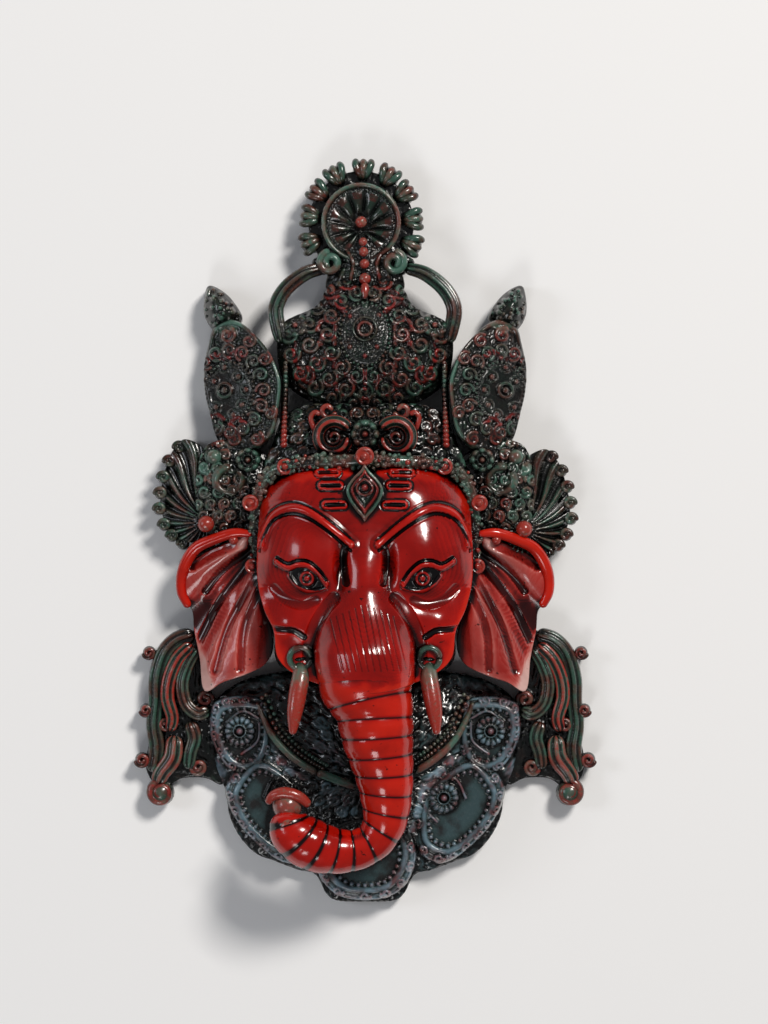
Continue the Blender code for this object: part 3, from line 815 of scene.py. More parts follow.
trunk = tube(TRUNK_SPINE[TUBE_START:], sides=100, span=22, shape=trunk_section, red=trunk_wax)
lip = [(-96, -268, 110, 3), (-90, -260, 114, 5), (-78, -257, 116, 6), (-64, -261, 115, 5.5),
       (-54, -270, 111, 4)]
tip = [
    stud(-74, -290, 117, 14.5, red=0.7, sides=32),
    stud(-76, -270, 106, 15, red=0.6, sides=24),
    tube(lip, sides=16, span=8, red=1.0),
]
piece("trunk", [trunk], LACQUER)
piece("trunk_tip", tip, PATINA)

# %% [markdown]
# ## Ears
#
# Each ear is a thin blade with folds that fan out from its root, and a rolled outer rim. The
# folds are a wave in the angle round the root.

# %% Ears
ear_rim = [
    (110, -2), (140, -4), (164, -12), (182, -30), (184, -66), (174, -80), (172, -100), (166, -128),
    (161, -160), (142, -151), (119, -143), (99, -132), (92, -112), (100, -70), (104, -35),
]


def carve_ear(sheet):
    """Waves in the angle round the ear's root, cut by five creases."""
    reach = np.abs(sheet.x)
    angle = np.arctan2(sheet.y - 10, reach - 92)
    sheet.z = 62 - 0.34 * (reach - 95)
    wave = np.sin(9.0 * angle + 0.6)
    deep = np.minimum(1.0, sheet.share * 1.6)
    sheet.z += 8.0 * np.sign(wave) * np.abs(wave) ** 0.8 * deep
    # Painted shade: the valleys between the folds are darkened, as the lamp leaves them in shade.
    sheet.red = -0.42 * np.clip(-wave, 0, 1) ** 1.5 * deep
    side = np.sign(sheet.x.mean())
    for start, end in (
            ((112, -16), (160, -60)), ((110, -26), (166, -110)), ((108, -44), (150, -140)),
            ((106, -60), (124, -138)), ((116, -10), (172, -36))):
        middle = ((start[0] + end[0]) / 2 + 6, (start[1] + end[1]) / 2)
        bend(sheet, [start, middle, end], side, 4.5, -3.2)


ears = []
rolls = []
for side in (-1, 1):
    ears.append(plate(mirrored(ear_rim, side), (side * 132, -72), carve_ear, 220, 50, floor=15))
    roll = [(112, -3, 62, 3), (130, -2, 59, 5), (150, -8, 53, 5.5), (170, -18, 46, 6),
            (182, -38, 40, 6), (184, -60, 37, 5.5), (177, -77, 36, 4)]
    rolls.append(tube(mirrored(roll, side)))
piece("ears", ears, EAR_SHEEN_LACQUER)
piece("ear_rolls", rolls, LACQUER)

# %% [markdown]
# ## Crown
#
# The crown is a domed plate crowded with ornament round an oval beaded medallion: bosses, small
# curls, arched leaves rubbed back to red, and a pendant leaf at the foot.

# %% Crown body
MEDALLION = (0, 196)


def carve_crown(sheet):
    """Rings of curls, the medallion, and the leaves and bosses of both sides."""
    sheet.z = 74 - 32 * sheet.share ** 2.4
    low = sheet.z.copy()
    sheet.lay_ground()
    pebbles(sheet, sheet.share < 0.97, 4.0, 1.3)
    for wide, tall, count, reach in ((37, 43, 14, 8.5), (56, 58, 18, 9.0), (77, 70, 22, 9.0)):
        for index in range(count):
            turn = 2 * math.pi * (index + 0.5 * (wide == 56)) / count
            x = wide * math.cos(turn)
            y = MEDALLION[1] + tall * math.sin(turn)
            hand = 1 if x > 0 else -1
            curl = scroll(x, y, reach, 1.4, math.degrees(turn) + 180, 1.35, hand, 20)
            wire(sheet, curl, 2.7, 6.5, red=0.45 if index % 3 == 0 else 0.0)
            dot(sheet, x, y, 2.6, 5.0, red=0.3)
    off = np.hypot(sheet.x / 28.0, (sheet.y - MEDALLION[1]) / 34.0)
    plain = off < 1.0
    sheet.z[plain] = low[plain] + 1.0
    sheet.red[plain] = 0.0
    pebbles(sheet, off < 0.75, 3.2, 1.8, seed=8.4)
    beads(sheet, ring(*MEDALLION, 25, 32), 4.6, 2.1, 5.0)
    wire(sheet, ring(*MEDALLION, 21, 28), 1.2, 1.6)
    wire(sheet, ring(0, 201, 6.6), 2.4, 6.0, red=0.5)
    wire(sheet, ring(0, 201, 11.5), 1.8, 4.0)
    dot(sheet, 0, 225, 5.0, 4.0, red=0.2)
    for x, y in ((-15, 183), (12, 183), (0, 174), (-15, 214), (14, 215)):
        dot(sheet, x, y, 3.0, 4.0, red=0.7)
        wire(sheet, ring(x, y, 5.0), 1.0, 1.4)
    for side in (-1, 1):
        for bar in ([(36, 229), (21, 219)], [(32, 236), (24, 230)]):
            wire(sheet, mirrored(bar, side), 3.2, 4.2, red=1.0)
        for x, y, wide in ((38, 203, 8.5), (37, 188, 7.0), (38, 166, 8.0), (20, 146, 9.0)):
            arch = [(side * x + wide * math.cos(a), y + wide * math.sin(a))
                    for a in np.linspace(-0.1 * math.pi, 1.1 * math.pi, 14)]
            wire(sheet, arch, 3.2, 5.0, red=0.7)
            dot(sheet, side * x, y, 3.4, 2.2)
        for x, y, wide in (
                (41, 178, 5.0), (51, 172, 5.5), (27, 154, 5.5), (38, 148, 5.0), (22, 135, 5.5)):
            wire(sheet, scroll(side * x, y, wide, 1.5, 90, 1.4, side), 1.7, 3.4, red=0.35)
            dot(sheet, side * x, y, 1.8, 3.0, red=0.9)
        hook = scroll(side * 58, 154, 10, 3, 90 - side * 100, 1.1, side)
        wire(sheet, hook, 3.0, 5.0, red=0.8)
        bend(sheet, [(66, 147), (52, 138), (36, 129)], side, 2.0, 3.4)
        for x in (64, 69, 75):
            stripe = [(x, 188), (x + 2, 176), (x - 3, 162)]
            bend(sheet, stripe, side, 1.9, 2.8, red=1.0 if x == 69 else 0.0)
        bend(sheet, [(34, 244), (46, 226), (60, 210)], side, 2.6, 3.0)
        bend(sheet, [(12, 244), (26, 240), (40, 226)], side, 3.4, 3.4, red=0.8)
        bend(sheet, [(3, 163), (8, 152), (7, 144), (2, 139)], side, 1.6, 3.6)
        bend(sheet, [(3, 128), (9, 131), (14, 127)], side, 2.6, 3.0, red=0.4)
        rosette(sheet, side * 70, 206, 14, 8, 7.0)
    wire(sheet, [(0, 160), (0, 142)], 2.2, 4.2, red=1.0)
    dot(sheet, 0, 131, 4.0, 4.6, red=1.0)


crown_rim = outline(250, [
    (33, 248), (48, 226), (66, 217), (82, 208), (88, 192), (87, 168), (80, 148), (60, 133),
    (34, 124)], 118)
piece("crown_body", [plate(crown_rim, (0, 184), carve_crown, 420, 88)], PATINA)

# %% [markdown]
# ## Scroll band and headband
#
# The band under the crown carries two large open scrolls either side of a flower, with small
# curls on top. They stand free of the plate, so they are tubes, not relief. The headband is a
# sleeve crowded with grains of uneven size, set out by chance.

# %% Scroll band
def carve_band(sheet):
    """A domed band full of curls."""
    sheet.z = 68 - 20 * sheet.share ** 2
    sheet.lay_ground()
    pebbles(sheet, sheet.share < 0.98, 4.2, 1.0)
    scrollwork(sheet, 15.0, 6.0)


band_rim = outline(128, [(36, 128), (66, 124), (84, 110), (92, 88), (100, 60), (70, 52)], 56)
piece("scroll_band", [plate(band_rim, (0, 92), carve_band, 240, 44)], PATINA)


def carve_flower(radius, petals, low, high):
    """A separate cast flower on a disc."""
    def carve(sheet):
        sheet.z = np.full_like(sheet.x, low)
        rosette(sheet, sheet.x.mean(), sheet.y.mean(), radius, petals, high)
    return carve


scrolls = []
for side in (-1, 1):
    outer = scroll(side * 31, 93, 17, 13.5, 90 + side * 60, 0.92, -side, 24)
    scrolls.append(tube(
        [(x, y, 76, 5.6) for x, y in outer], 24, 3, ribbed(2, 0.14), red=edge_rub))
    inner = scroll(side * 31, 93, 8, 3, 90 - side * 30, 1.2, -side, 16)
    scrolls.append(tube([(x, y, 72, 1.9) for x, y in inner], 10, 3, red=0.7))
    curl = scroll(side * 37, 120, 8, 3, 90 + side * 100, 1.0, side, 16)
    scrolls.append(tube([(x, y, 70, 2.6) for x, y in curl], 12, 3, red=0.7))
    arm = smooth_line(mirrored([(50, 100), (54, 112), (50, 118), (44, 116)], side))
    scrolls.append(tube([(x, y, 70, 2.6) for x, y in arm[::3]], 12, 2, red=0.9))
piece("band_scrolls", scrolls, PATINA)
piece("band_flower", [disc(0, 96, 15, carve_flower(15, 8, 74, 7), 96, 24, 50)], PATINA)

# %% Headband
GRAINS = 430
grains = []
random = np.random.default_rng(7)
arc_half = [(105, -34, 58), (109, 0, 63), (106, 34, 68), (93, 58, 78), (62, 67, 89), (30, 69, 96)]
arc = smooth_line(arc_half + [(0, 70, 99)] + mirrored(arc_half[::-1], -1))
sleeve = tube([(x, y, z - 4, 6.5) for x, y, z in arc[::4]], 14, 2, red=-0.5)
for _ in range(GRAINS):
    spot = random.uniform(0, len(arc) - 1)
    x, y, z = [np.interp(spot, np.arange(len(arc)), arc[:, axis]) for axis in range(3)]
    lean = math.atan2(y + 50, x)
    off = random.uniform(-8, 8)
    radius = random.uniform(1.5, 3.1)
    rub = 1.0 if random.random() > 0.93 else -0.2
    x += off * math.cos(lean)
    y += off * math.sin(lean)
    grains.append(stud(x, y, z + 1.8 - 0.05 * off * off, radius, red=rub, sides=8))
piece("headband", [sleeve] + grains, PATINA)

drops = []
for side in (-1, 1):
    for x, y, z, radius in ((79, 64, 84, 8), (114, 28, 70, 8), (112, -35, 64, 7.5)):
        drops.append(cup(side * x, y, z, radius))
drops.append(cup(0, 74, 108, 9))
piece("cup_drops", drops, PATINA)

# %% [markdown]
# ## Crown loops, bead strings and crest
#
# Grooved loops bend down from the neck of the crest. The crest is a dished shell of pointed
# petals with a beaded rim and ruffled leaves round it.

# %% Loops and strings
loops = []
for side in (-1, 1):
    path = [(40, 264, 38, 6), (60, 258, 42, 7.5), (79, 243, 44, 8), (89, 224, 46, 8),
            (87, 204, 48, 7.5), (83, 188, 50, 6)]
    loops.append(tube(mirrored(path, side), 36, 10, banded, red=banded_wax))
    for share in np.arange(19) / 18:
        place = (side * (79 + 2 * share), 168 - share * 82, 56 + 6 * share)
        loops.append(stud(*place, 2.0 + 1.6 * share, red=share, sides=9))
    loops.append(tube(mirrored([(79, 170, 50, 3), (82, 84, 56, 4)], side), 10, 12))
piece("crown_loops", loops, PATINA)

# %% Crest
CREST = (-4, 309)
PETALS = 13


def carve_crest(sheet):
    """A dished shell of petals inside a bead row and a rim."""
    reach = np.hypot(sheet.x - CREST[0], sheet.y - CREST[1])
    angle = np.arctan2(sheet.y - CREST[1] + 6, sheet.x - CREST[0])
    sheet.z = 36 + 9 * (reach / 41) ** 2
    petal = np.abs(np.sin(PETALS * angle / 2)) ** 0.7
    swell = np.sqrt(np.sin(np.clip((reach - 9) / 24, 0, 1) * math.pi))
    sheet.z += 4.6 * petal * swell
    sheet.red = np.where((reach > 24) & (reach < 31) & (petal > 0.7), 0.5, 0.0)
    wire(sheet, ring(*CREST, 37.0, points=60), 2.6, 3.6, red=0.3)
    beads(sheet, ring(*CREST, 33.0, points=60), 4.0, 1.5, 1.6)


def carve_crest_back(sheet):
    """The rough disc behind the shell."""
    sheet.z = 30 - 2 * sheet.share
    pebbles(sheet, sheet.share < 0.99, 4.0, 1.5)


def carve_neck(sheet):
    """The stem between crown and crest."""
    sheet.z = 48 - 14 * sheet.share ** 2
    sheet.lay_ground()
    pebbles(sheet, sheet.share < 0.97, 4.0, 1.6)
    for side in (-1, 1):
        bend(sheet, [(4, 236), (14, 250), (12, 268), (20, 284)], side, 2.2, 3.2, red=0.5)
        bend(sheet, [(36, 240), (26, 250), (22, 262)], side, 2.6, 3.0)


neck_rim = outline(300, [(34, 286), (30, 268), (38, 256), (36, 240)], 232)
crest_parts = [
    disc(*CREST, 53, carve_crest_back, 160, 24),
    disc(*CREST, 40, carve_crest, 312, 48, floor=20),
    plate(neck_rim, (0, 262), carve_neck, 160, 34),
]
for x, y, radius in ((-4, 309, 6), (-2, 289, 4.5), (-1.5, 279, 5), (-0.5, 267, 5), (0, 252, 6)):
    crest_parts.append(stud(x, y, 50 if y > 300 else 53, radius, red=0.8, sides=16))
crest_parts.append(tube([(0, 248, 56, 3.5), (0, 240, 58, 4.5), (0, 230, 60, 3)], 14, 6, red=0.8))
piece("crest", crest_parts, PATINA)

# %% Leaves round the crest
# Each fold's line: share of the leaf outwards and sideways, height, and thickness.
FOLD = ((-1.0, 0.10, 30, 2.4), (-0.2, 0.45, 34, 3.6), (0.5, 0.75, 33, 3.8), (0.95, 0.70, 28, 3.0))
leaves = []
for x, y, radius in (
        (-2, 363, 10.5), (-29, 357, 11), (-46, 340, 11), (-54, 316, 11), (-54, 290, 11),
        (-42, 269, 8), (23, 356, 11), (39, 339, 11), (47, 313, 11), (46, 288, 11), (38, 269, 8)):
    leaves.append(stud(x, y, 24, radius, sides=16))
    away = math.atan2(y - CREST[1], x - CREST[0])
    out_x, out_y = math.cos(away), math.sin(away)
    # Three folds part towards the edge, as on a ruffled leaf.
    for part in (-1, 0, 1):
        path = []
        for reach, spread, z, thick in FOLD:
            forth, across = reach * radius, part * spread * radius
            path.append((x + out_x * forth - out_y * across,
                         y + out_y * forth + out_x * across, z, thick))
        leaves.append(tube(path, 14, 6, red=0.35 if part == 0 else -0.3))
for side in (-1, 1):
    spiral = scroll(side * 32 - 3, 269, 11, 3.5, 90, 1.5, -side, 24)
    leaves.append(tube([(x, y, 46, 3.8) for x, y in spiral], 14, 3, ribbed(2, 0.08), red=0.2))
piece("crest_knobs", leaves, PATINA)

# %% [markdown]
# ## Side plates and fans
#
# The plates beside the crown turn outwards, so their heights fall away from the centre. Each has
# a beaded medallion. The fans below are shells of wavy ribs that run from a red bead to a ring of
# curled knobs.

# %% Side plates
plate_rim = [
    (152, 205), (157, 190), (162, 164), (161, 140), (155, 114), (150, 96), (142, 82), (124, 78),
    (104, 84), (91, 100), (86, 124), (84, 146), (87, 160), (94, 176), (105, 191), (122, 207),
    (138, 212),
]
knob_rim = [
    (152, 202), (162, 218), (161, 240), (156, 247), (143, 241), (132, 230), (124, 214), (134, 202),
]


def carve_side_plate(sheet):
    """A medallion in a ring of curls, with leaves and curls out to the rim."""
    side = np.sign(sheet.x.mean())
    sheet.z = 66 - 0.55 * (np.abs(sheet.x) - 88) + 6 * (1 - sheet.share ** 2)
    sheet.lay_ground()
    pebbles(sheet, sheet.share < 0.98, 4.2, 1.7)
    middle = (side * 136, 140)
    plain = np.hypot((sheet.x - middle[0]) / 25, (sheet.y - middle[1]) / 29) < 1
    sheet.z[plain] = sheet.ground[plain]
    beads(sheet, ring(*middle, 25, 29), 4.4, 2.0, 3.8)
    wire(sheet, ring(*middle, 21, 25), 1.4, 1.8)
    wire(sheet, ring(side * 141, 141, 7), 2.2, 3.6)
    dot(sheet, side * 141, 141, 4.0, 4.6, red=0.4)
    for x, y in (
            (127, 154), (119, 141), (123, 126), (132, 116), (141, 164), (152, 150), (150, 124)):
        dot(sheet, side * x, y, 3.2, 4.2, red=0.5)
        wire(sheet, ring(side * x, y, 5.2), 1.3, 1.8)
    for index in range(16):
        turn = 2 * math.pi * index / 16
        x = middle[0] + 35 * math.cos(turn)
        y = middle[1] + 41 * math.sin(turn)
        wire(sheet, scroll(x, y, 7.5, 1.6, math.degrees(turn) + 180, 1.35, side), 2.3, 5.5,
             red=0.5 if index % 3 == 0 else 0.0)
        dot(sheet, x, y, 2.4, 4.6, red=0.4)
    for x, y, wide in (
            (138, 196, 8), (116, 190, 7), (100, 172, 7), (94, 118, 6), (108, 92, 7), (132, 92, 7)):
        wire(sheet, scroll(side * x, y, wide, 2, 60, 1.3, side), 2.4, 5.0, red=0.5)
        dot(sheet, side * x, y, 2.6, 4.0, red=0.8)
    for x, y in ((128, 174), (150, 172), (150, 112), (128, 108)):
        bend(sheet, [(x - 8, y), (x, y + 5), (x + 8, y - 1)], side, 2.8, 3.6, red=0.9)
    rim = smooth_line(mirrored(plate_rim, side), closed=True)[:, :2]
    centre = np.array([side * 124, 146])
    wire(sheet, centre + (np.vstack([rim, rim[:1]]) - centre) * 0.95, 2.2, 3.0)


def carve_knob(sheet):
    """The pebbled bud on top of a side plate."""
    sheet.z = 42 - 18 * sheet.share ** 2
    pebbles(sheet, sheet.share < 0.95, 6.5, 4.0)


side_plates = []
for side in (-1, 1):
    rim = mirrored(plate_rim, side)
    side_plates.append(plate(rim, (side * 124, 146), carve_side_plate, 260, 56))
    rim = mirrored(knob_rim, side)
    side_plates.append(plate(rim, (side * 145, 222), carve_knob, 110, 24))
piece("side_plates", side_plates, PATINA)

# %% Scrolls below the side plates
scroll_parts = []
for side in (-1, 1):
    scroll_parts.append(disc(side * 117, 71, 13, carve_flower(13, 8, 52, 7), 96, 24))
    hoop = [(x, y, 50, 5.2) for x, y in scroll(side * 136, 51, 13, 12, 60, 0.95, side, 30)]
    scroll_parts.append(tube(hoop, 18, 3, ribbed(2, 0.10), red=0.3))
    inner = [(x, y, 47, 2.0) for x, y in scroll(side * 136, 51, 7, 3, 60, 1.1, side, 16)]
    scroll_parts.append(tube(inner, 10, 3))
    for x, y, z, radius, red in ((151, 74, 46, 8, 0.1), (163, 64, 36, 5, 0.6)):
        scroll_parts.append(stud(side * x, y, z, radius, red=red, sides=18))
piece("plate_scrolls", scroll_parts, PATINA)

# %% Fans
fan_rim = [
    (182, 88), (196, 72), (202, 54), (206, 36), (206, 18), (200, 2), (190, -10), (172, -16),
    (148, -12), (136, 20), (142, 56), (160, 78),
]
web_rim = [(160, 84), (126, 90), (92, 66), (100, 20), (104, -20), (130, -14), (160, -10), (170, 40)]
fan_knobs = ((187, 80), (197, 66), (203, 50), (206, 34), (207, 18), (202, 2), (194, -9), (183, -17))
FAN_ROOT = (159, 5)


def carve_fan(sag):
    """Wavy ribs that spread from the fan's root."""
    def carve(sheet):
        reach_x = np.abs(sheet.x) - FAN_ROOT[0]
        reach_y = sheet.y - sag - FAN_ROOT[1]
        reach = np.hypot(reach_x, reach_y)
        angle = np.arctan2(reach_y, reach_x)
        sheet.z = 46 - 0.42 * np.clip(np.abs(sheet.x) - 150, 0, None)
        wave = np.cos(24 * angle + 1.5 * np.sin(reach / 14))
        sheet.z += np.where(reach > 10, 3.2 * np.sign(wave) * np.abs(wave) ** 0.7, 0)
        sheet.red = np.where((wave > 0.8) & (reach > 30), 0.35, 0.0)
    return carve


def carve_web(sheet):
    """The curled ground between headband and fan."""
    sheet.z = 50 - 12 * sheet.share ** 2
    sheet.lay_ground()
    pebbles(sheet, sheet.share < 0.98, 4.6, 1.2)
    scrollwork(sheet, 14.0, 5.5, 2.0)
    side = np.sign(sheet.x.mean())
    for start in (118, 124, 130):
        bend(sheet, [(start, 48), (start - 6, 20), (start - 4, -6)], side, 1.7, 2.4)


fans = []
fan_studs = []
for side in (-1, 1):
    # The right fan sits lower than the left one.
    sag = -6 if side > 0 else 4
    shift = [(x, y + sag) for x, y in mirrored(fan_rim, side)]
    fans.append(plate(shift, (side * 172, 34 + sag), carve_fan(sag), 260, 38))
    fans.append(plate(mirrored(web_rim, side), (side * 130, 34), carve_web, 180, 36))
    for x, y in fan_knobs:
        fan_studs.append(stud(side * x, y + sag, 24, 6.4))
        curl = scroll(side * x, y + sag, 5.8, 1.5, 200 if side < 0 else -20, 1.3, side, 14)
        fan_studs.append(tube([(px, py, 29, 2.4) for px, py in curl], 10, 2, red=0.3))
    root_y = FAN_ROOT[1] + sag * 0.5
    fan_studs.append(stud(side * FAN_ROOT[0], root_y, 52, 8.5, red=1.0, sides=24))
    fan_studs.append(stud(side * 131, -9, 58, 5, red=1.0, sides=18))
piece("fans", fans, PATINA)
piece("fan_knobs", fan_studs, PATINA)

# %% [markdown]
# ## Scroll brackets
#
# Brackets of ribbed bands fill the corners beside the collar. The bands lie on a thin back plate,
# with curls along their edges and a large one at the foot.

# %% Brackets
bracket_rim = [
    (168, -102), (190, -106), (207, -116), (213, -135), (216, -160), (220, -185), (218, -210),
    (222, -235), (216, -252), (204, -262), (190, -252), (178, -249), (160, -250), (144, -256),
    (143, -230), (150, -190), (156, -160), (163, -130),
]
bracket_bands = (
    [(172, -104, 20, 8), (190, -110, 20, 8.5), (203, -124, 19, 8.5), (210, -148, 18, 8.5),
     (211, -172, 18, 8), (213, -196, 18, 8), (210, -220, 17, 8.5), (214, -244, 17, 8)],
    [(174, -114, 24, 7), (188, -128, 24, 7.5), (197, -148, 24, 7.5), (199, -168, 24, 7.5),
     (194, -188, 24, 7), (197, -202, 23, 6)],
    [(168, -118, 24, 6), (178, -134, 24, 6.5), (184, -154, 25, 7), (180, -174, 26, 7),
     (168, -184, 27, 7), (157, -180, 27, 6.5)],
    [(192, -206, 20, 9), (194, -228, 21, 10), (205, -244, 20, 9), (210, -256, 19, 8)],
    [(177, -192, 22, 7), (172, -208, 22, 7.5), (176, -224, 22, 7), (178, -240, 21, 6.5)],
)
BRACKET_RUBS = (-0.4, 0.8, -0.3, 0.6, -0.3)
bracket_curls = (
    (218, -123, 8, 0), (221, -181, 8, 0), (225, -231, 9, 0), (201, -196, 9, 200),
    (161, -170, 11, 240), (168, -238, 10, 0), (206, -264, 16, 90),
)


def carve_bracket(sheet):
    """The thin plate behind the bands."""
    sheet.z = 14 - 2 * sheet.share ** 2
    pebbles(sheet, sheet.share < 0.98, 6.0, 1.2)


bands = []
for side in (-1, 1):
    rim = mirrored(bracket_rim, side)
    bands.append(plate(rim, (side * 184, -190), carve_bracket, 160, 30))
    for path, rub in zip(bracket_bands, BRACKET_RUBS):
        bands.append(tube(mirrored(path, side), 42, 7, banded, red=rubbed_band(rub)))
    for x, y, wide, start in bracket_curls:
        if side < 0:
            start = 180 - start
        curl = scroll(side * x, y, wide * 0.72, wide * 0.15, start, 1.6, -side, 26)
        count = len(curl)
        thick = max(2.0, wide * 0.30)
        path = [(px, py, 20 + 4 * step / count, thick * (1 - 0.3 * step / count))
                for step, (px, py) in enumerate(curl)]
        bands.append(tube(path, 14, 2, red=0.6))
        seat = wide * 0.85
        bands.append(stud(side * x, y, max(12, seat + ROOT), seat, sides=20))
piece("brackets", bands, PATINA)

# %% [markdown]
# ## Collar
#
# The collar is a dished bib with lobes below and a piece on each shoulder. Each lobe has a smooth
# field with a rosette and bent wires, a bead line, a smooth raised band, and a vine of curls in
# its border. The bead line and band follow the lobe's own outline, drawn in towards its centre.

# %% Outlines and carving of a lobe
def inset(rim, centre, share):
    """The outline drawn in towards the centre."""
    line = smooth_line(rim, closed=True)[:, :2]
    line = np.vstack([line, line[:1]])
    middle = np.array(centre)
    return middle + (line - middle) * share


def carve_lobe(rim, centre, field, drop, flower, wires, gap):
    """A lobe's own carving, from its field out to its border."""
    def carve(sheet):
        sheet.z = field - drop * np.clip((sheet.share - 0.86) / 0.14, 0, 1) ** 2
        sheet.lay_ground()
        wire(sheet, inset(rim, centre, 0.76), 3.6, 5.0)
        beads(sheet, inset(rim, centre, 0.66), gap, 2.5, 4.4, red=0.35)
        vine = inset(rim, centre, 0.90)
        stride = max(4, len(vine) // 12)
        for index in range(0, len(vine) - stride, stride):
            x, y = vine[index]
            hand = 1 if (index // stride) % 2 else -1
            wire(sheet, scroll(x, y, 5.6, 1.4, 30 * index, 1.3, hand), 1.7, 4.2, red=0.4)
        wire(sheet, inset(rim, centre, 0.965), 1.8, 3.2)
        rosette(sheet, *flower, 16, 14, 6.5)
        for path in wires:
            wire(sheet, smooth_line(path), 1.8, 4.0, red=0.45)
    return carve


# %% Collar
COLLAR_CENTRE = (0, -250)
collar_rim = outline(-374, [
    (34, -371), (50, -347), (68, -342), (92, -333), (111, -325), (127, -308), (137, -287),
    (141, -262), (151, -234), (153, -204), (151, -172), (120, -150), (70, -140)], -130)


def carve_collar(sheet):
    """The curled ground that the lobes lie on."""
    sheet.z = 38 - 26 * sheet.share ** 2
    sheet.lay_ground()
    pebbles(sheet, sheet.share < 0.99, 5.0, 1.0)
    scrollwork(sheet, 15.0, 4.5, 5.0)
    wire(sheet, inset(collar_rim, COLLAR_CENTRE, 0.985), 2.0, 3.0)


def lobe(rim, centre, field, drop, flower, wires, sectors, rings, gap=6.4):
    """One lobe of the collar, carved by its own outline."""
    carve = carve_lobe(rim, centre, field, drop, flower, wires, gap)
    return plate(rim, centre, carve, sectors, rings)


middle_rim = outline(-372, [(30, -366), (48, -344), (52, -316), (36, -290)], -280)
lower_rim = [
    (112, -222), (139, -252), (138, -275), (127, -296), (113, -312), (92, -329), (72, -335),
    (50, -318), (52, -270), (76, -240),
]
shoulder_rim = [
    (98, -172), (128, -166), (151, -172), (156, -189), (154, -211), (140, -236), (120, -246),
    (100, -234), (92, -206),
]
collar_parts = [
    plate(collar_rim, COLLAR_CENTRE, carve_collar, 320, 52),
    lobe(middle_rim, (0, -324), 36, 14, (0, -316), (), 260, 56),
]
for side in (-1, 1):
    wires = [
        mirrored([(66, -238), (76, -243), (92, -250), (101, -268)], side),
        mirrored([(63, -246), (56, -264), (62, -281), (72, -292)], side),
    ]
    collar_parts.append(lobe(
        mirrored(lower_rim, side), (side * 94, -280), 33, 13, (side * 79, -268), wires, 300, 60))
    wires = [
        mirrored([(107, -188), (123, -181), (139, -192)], side),
        mirrored([(106, -193), (108, -211), (124, -224)], side),
    ]
    collar_parts.append(lobe(
        mirrored(shoulder_rim, side), (side * 124, -204), 32, 8, (side * 126, -201), wires,
        260, 50, gap=7.0))
piece("collar", collar_parts, SHEEN_SLATE)

# %% Neckline
ridge = [(109, -172, 33, 3.2), (95, -202, 38, 4), (79, -221, 42, 4.4), (62, -234, 44, 4.4),
         (48, -242, 45, 4.4)]
neckline = []
for side in (-1, 1):
    neckline.append(tube(mirrored(ridge, side), 14, 8, ribbed(1, 0.1), red=0.3))
front = [(-48, -242, 45, 4.4), (0, -256, 47, 4.4), (48, -242, 45, 4.4)]
neckline.append(tube(front, 14, 12))
for x, y, z, radius in smooth_line(ridge, span=5):
    for side in (-1, 1):
        for inward, rub in ((7, 0.4), (12, 0.0)):
            place = (side * (x - inward * 0.8), y + inward * 0.6, z - 1)
            neckline.append(stud(*place, 2.4, red=rub, sides=8))
piece("neckline", neckline, PATINA)

# %% [markdown]
# ## Height over the surroundings
#
# Dark wax stays wherever a rubbing cloth can't reach. A map of the whole front, one cell for each
# step, holds the highest point in the cell. Blurring it gives the level of the surroundings, and
# each point stores how far it lies over or under that level, so contact lines between separate
# pieces turn dark too.

# %% Measure the height map
CELLS = (480, 780)
FINE_BLUR, FINE_RISE = 2.5, 3.0
BROAD_BLUR, BROAD_RISE = 8.0, 14.0
WAX = 0.45


def cells_of(spots):
    """The map's cell under each point."""
    column, row = [
        np.clip((spots[:, axis] + CELLS[axis] / 2).astype(int), 0, CELLS[axis] - 1)
        for axis in (0, 1)]
    return column, row


def blurred(field, weight, spread):
    """Blur a map that has gaps."""
    reach = int(spread * 3)
    kernel = np.exp(-0.5 * (np.arange(-reach, reach + 1) / spread) ** 2)
    for axis in (0, 1):
        field = np.apply_along_axis(np.convolve, axis, field, kernel, "same")
        weight = np.apply_along_axis(np.convolve, axis, weight, kernel, "same")
    return field / np.maximum(weight, 1e-6)


tops = np.zeros(CELLS)
for item in pieces:
    spots = mesh_points(item.data) / STEP
    np.maximum.at(tops, cells_of(spots), spots[:, 2])
# A gap of one cell between points takes its neighbour's height.
for shift in (1, -1):
    for axis in (0, 1):
        tops = np.maximum(tops, np.where(tops <= 1.0, np.roll(tops, shift, axis), 0.0))
filled = (tops > 1.0).astype(float)
fine_level = blurred(tops, filled, FINE_BLUR)
broad_level = blurred(tops, filled, BROAD_BLUR)
print("cells filled", int(filled.sum()))

# %% Give each point its height over the surroundings
for item in pieces:
    spots = mesh_points(item.data) / STEP
    cells = cells_of(spots)
    fine = np.clip((spots[:, 2] - fine_level[cells]) / FINE_RISE, -1, 1)
    broad = np.clip((spots[:, 2] - broad_level[cells]) / BROAD_RISE, -1, 1)
    rubbed = np.empty(len(spots), dtype=np.float32)
    item.data.attributes["red"].data.foreach_get("value", rubbed)
    # Below zero, `red` darkens a point: dark wax, and on a few marks painted shade.
    cavity = np.clip(0.50 + 0.34 * fine + 0.13 * broad + WAX * np.minimum(rubbed, 0), 0, 1)
    layer = item.data.attributes.new("cavity", "FLOAT", "POINT")
    layer.data.foreach_set("value", cavity.astype(np.float32))
# A face of n corners is n - 2 triangles.
triangles = sum(len(item.data.loops) - 2 * len(item.data.polygons) for item in pieces)
print("pieces", len(pieces), "triangles", triangles)

# %% [markdown]
# ## Floor, light and camera
#
# The camera looks straight down from 3 m, which keeps the tall trunk in proportion. A large soft
# lamp at the upper right gives the long highlights on the lacquer, and two weaker ones fill in
# from the left and from below.

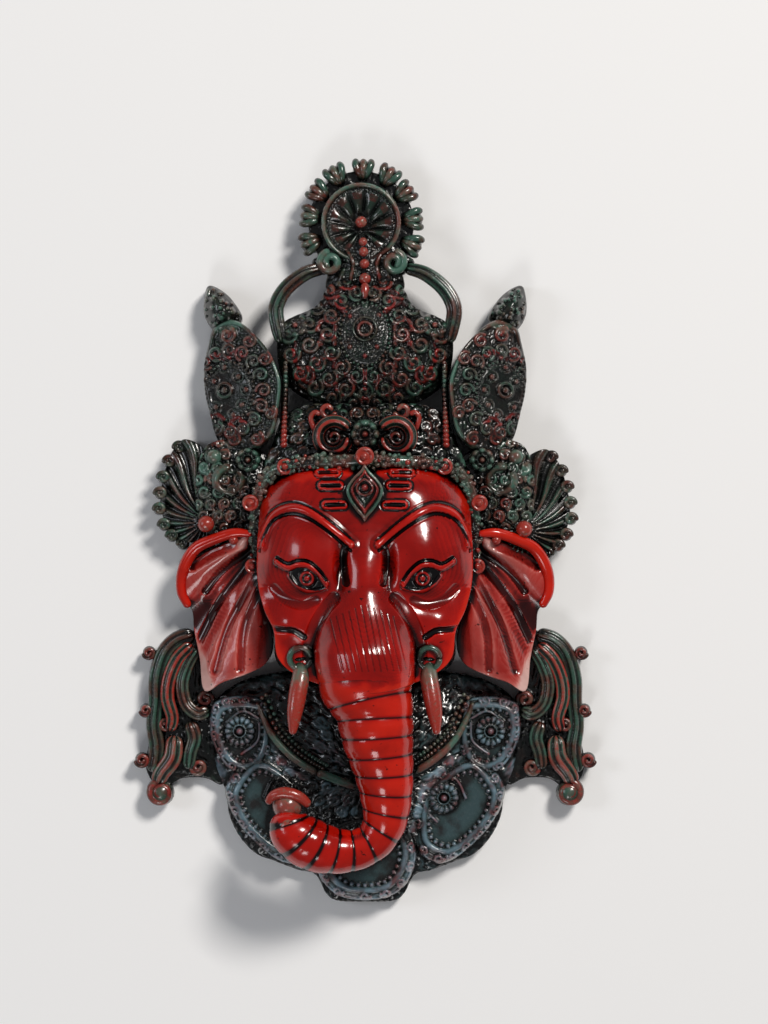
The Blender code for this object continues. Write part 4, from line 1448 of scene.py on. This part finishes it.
# %% Floor and world
bm = bmesh.new()
bmesh.ops.create_grid(bm, x_segments=1, y_segments=1, size=4.0)
floor_mesh = bpy.data.meshes.new("floor")
bm.to_mesh(floor_mesh)
bm.free()
floor = bpy.data.objects.new("floor", floor_mesh)
bpy.context.scene.collection.objects.link(floor)
# Pale background paper: matt, so that it shows no lamp.
paper, _, paper_shader = start_finish("pale_paper")
paper_shader.inputs["Base Color"].default_value = colour("#FBFBFB")
paper_shader.inputs["Roughness"].default_value = 0.9
floor_mesh.materials.append(paper)

world = bpy.data.worlds.new("studio")
world.use_nodes = True
sky = world.node_tree.nodes["Background"]
sky.inputs["Color"].default_value = (0.93, 0.95, 1.0, 1.0)
sky.inputs["Strength"].default_value = 0.14
bpy.context.scene.world = world


# %% Lamps
def soft_lamp(name, place, size, power, tint=(1, 1, 1)):
    """A square soft lamp turned to the mask's middle."""
    data = bpy.data.lights.new(name, "AREA")
    data.size = size
    data.energy = power
    data.color = tint
    lamp = bpy.data.objects.new(name, data)
    lamp.location = place
    lamp.rotation_euler = (-Vector(place)).to_track_quat("-Z", "Y").to_euler()
    bpy.context.scene.collection.objects.link(lamp)
    print(name, "lamp", power, "W")


soft_lamp("key", (2.3, 2.9, 4.2), 1.15, 232, (1.0, 0.96, 0.91))
soft_lamp("side", (-2.6, 0.4, 2.2), 0.9, 15, (0.88, 0.92, 1.0))
soft_lamp("low", (-0.7, -2.7, 2.8), 1.0, 22)

# %% Camera
# The frame is 1024 steps tall where the mask's middle height lies, so one step is one pixel.
CAMERA_HEIGHT = 3.0
SENSOR = 24.0
FOCUS_PLANE = 50 * STEP
FRAME_STEPS = 1024
AIM = (19 * STEP, 19 * STEP)
camera_data = bpy.data.cameras.new("camera")
camera_data.sensor_fit = "VERTICAL"
camera_data.sensor_height = SENSOR
camera_data.lens = SENSOR * (CAMERA_HEIGHT - FOCUS_PLANE) / (FRAME_STEPS * STEP)
camera = bpy.data.objects.new("camera", camera_data)
camera.location = (*AIM, CAMERA_HEIGHT)
bpy.context.scene.collection.objects.link(camera)
bpy.context.scene.camera = camera
bpy.context.scene.view_settings.view_transform = "Standard"
print("lens", round(camera_data.lens, 1), "mm")
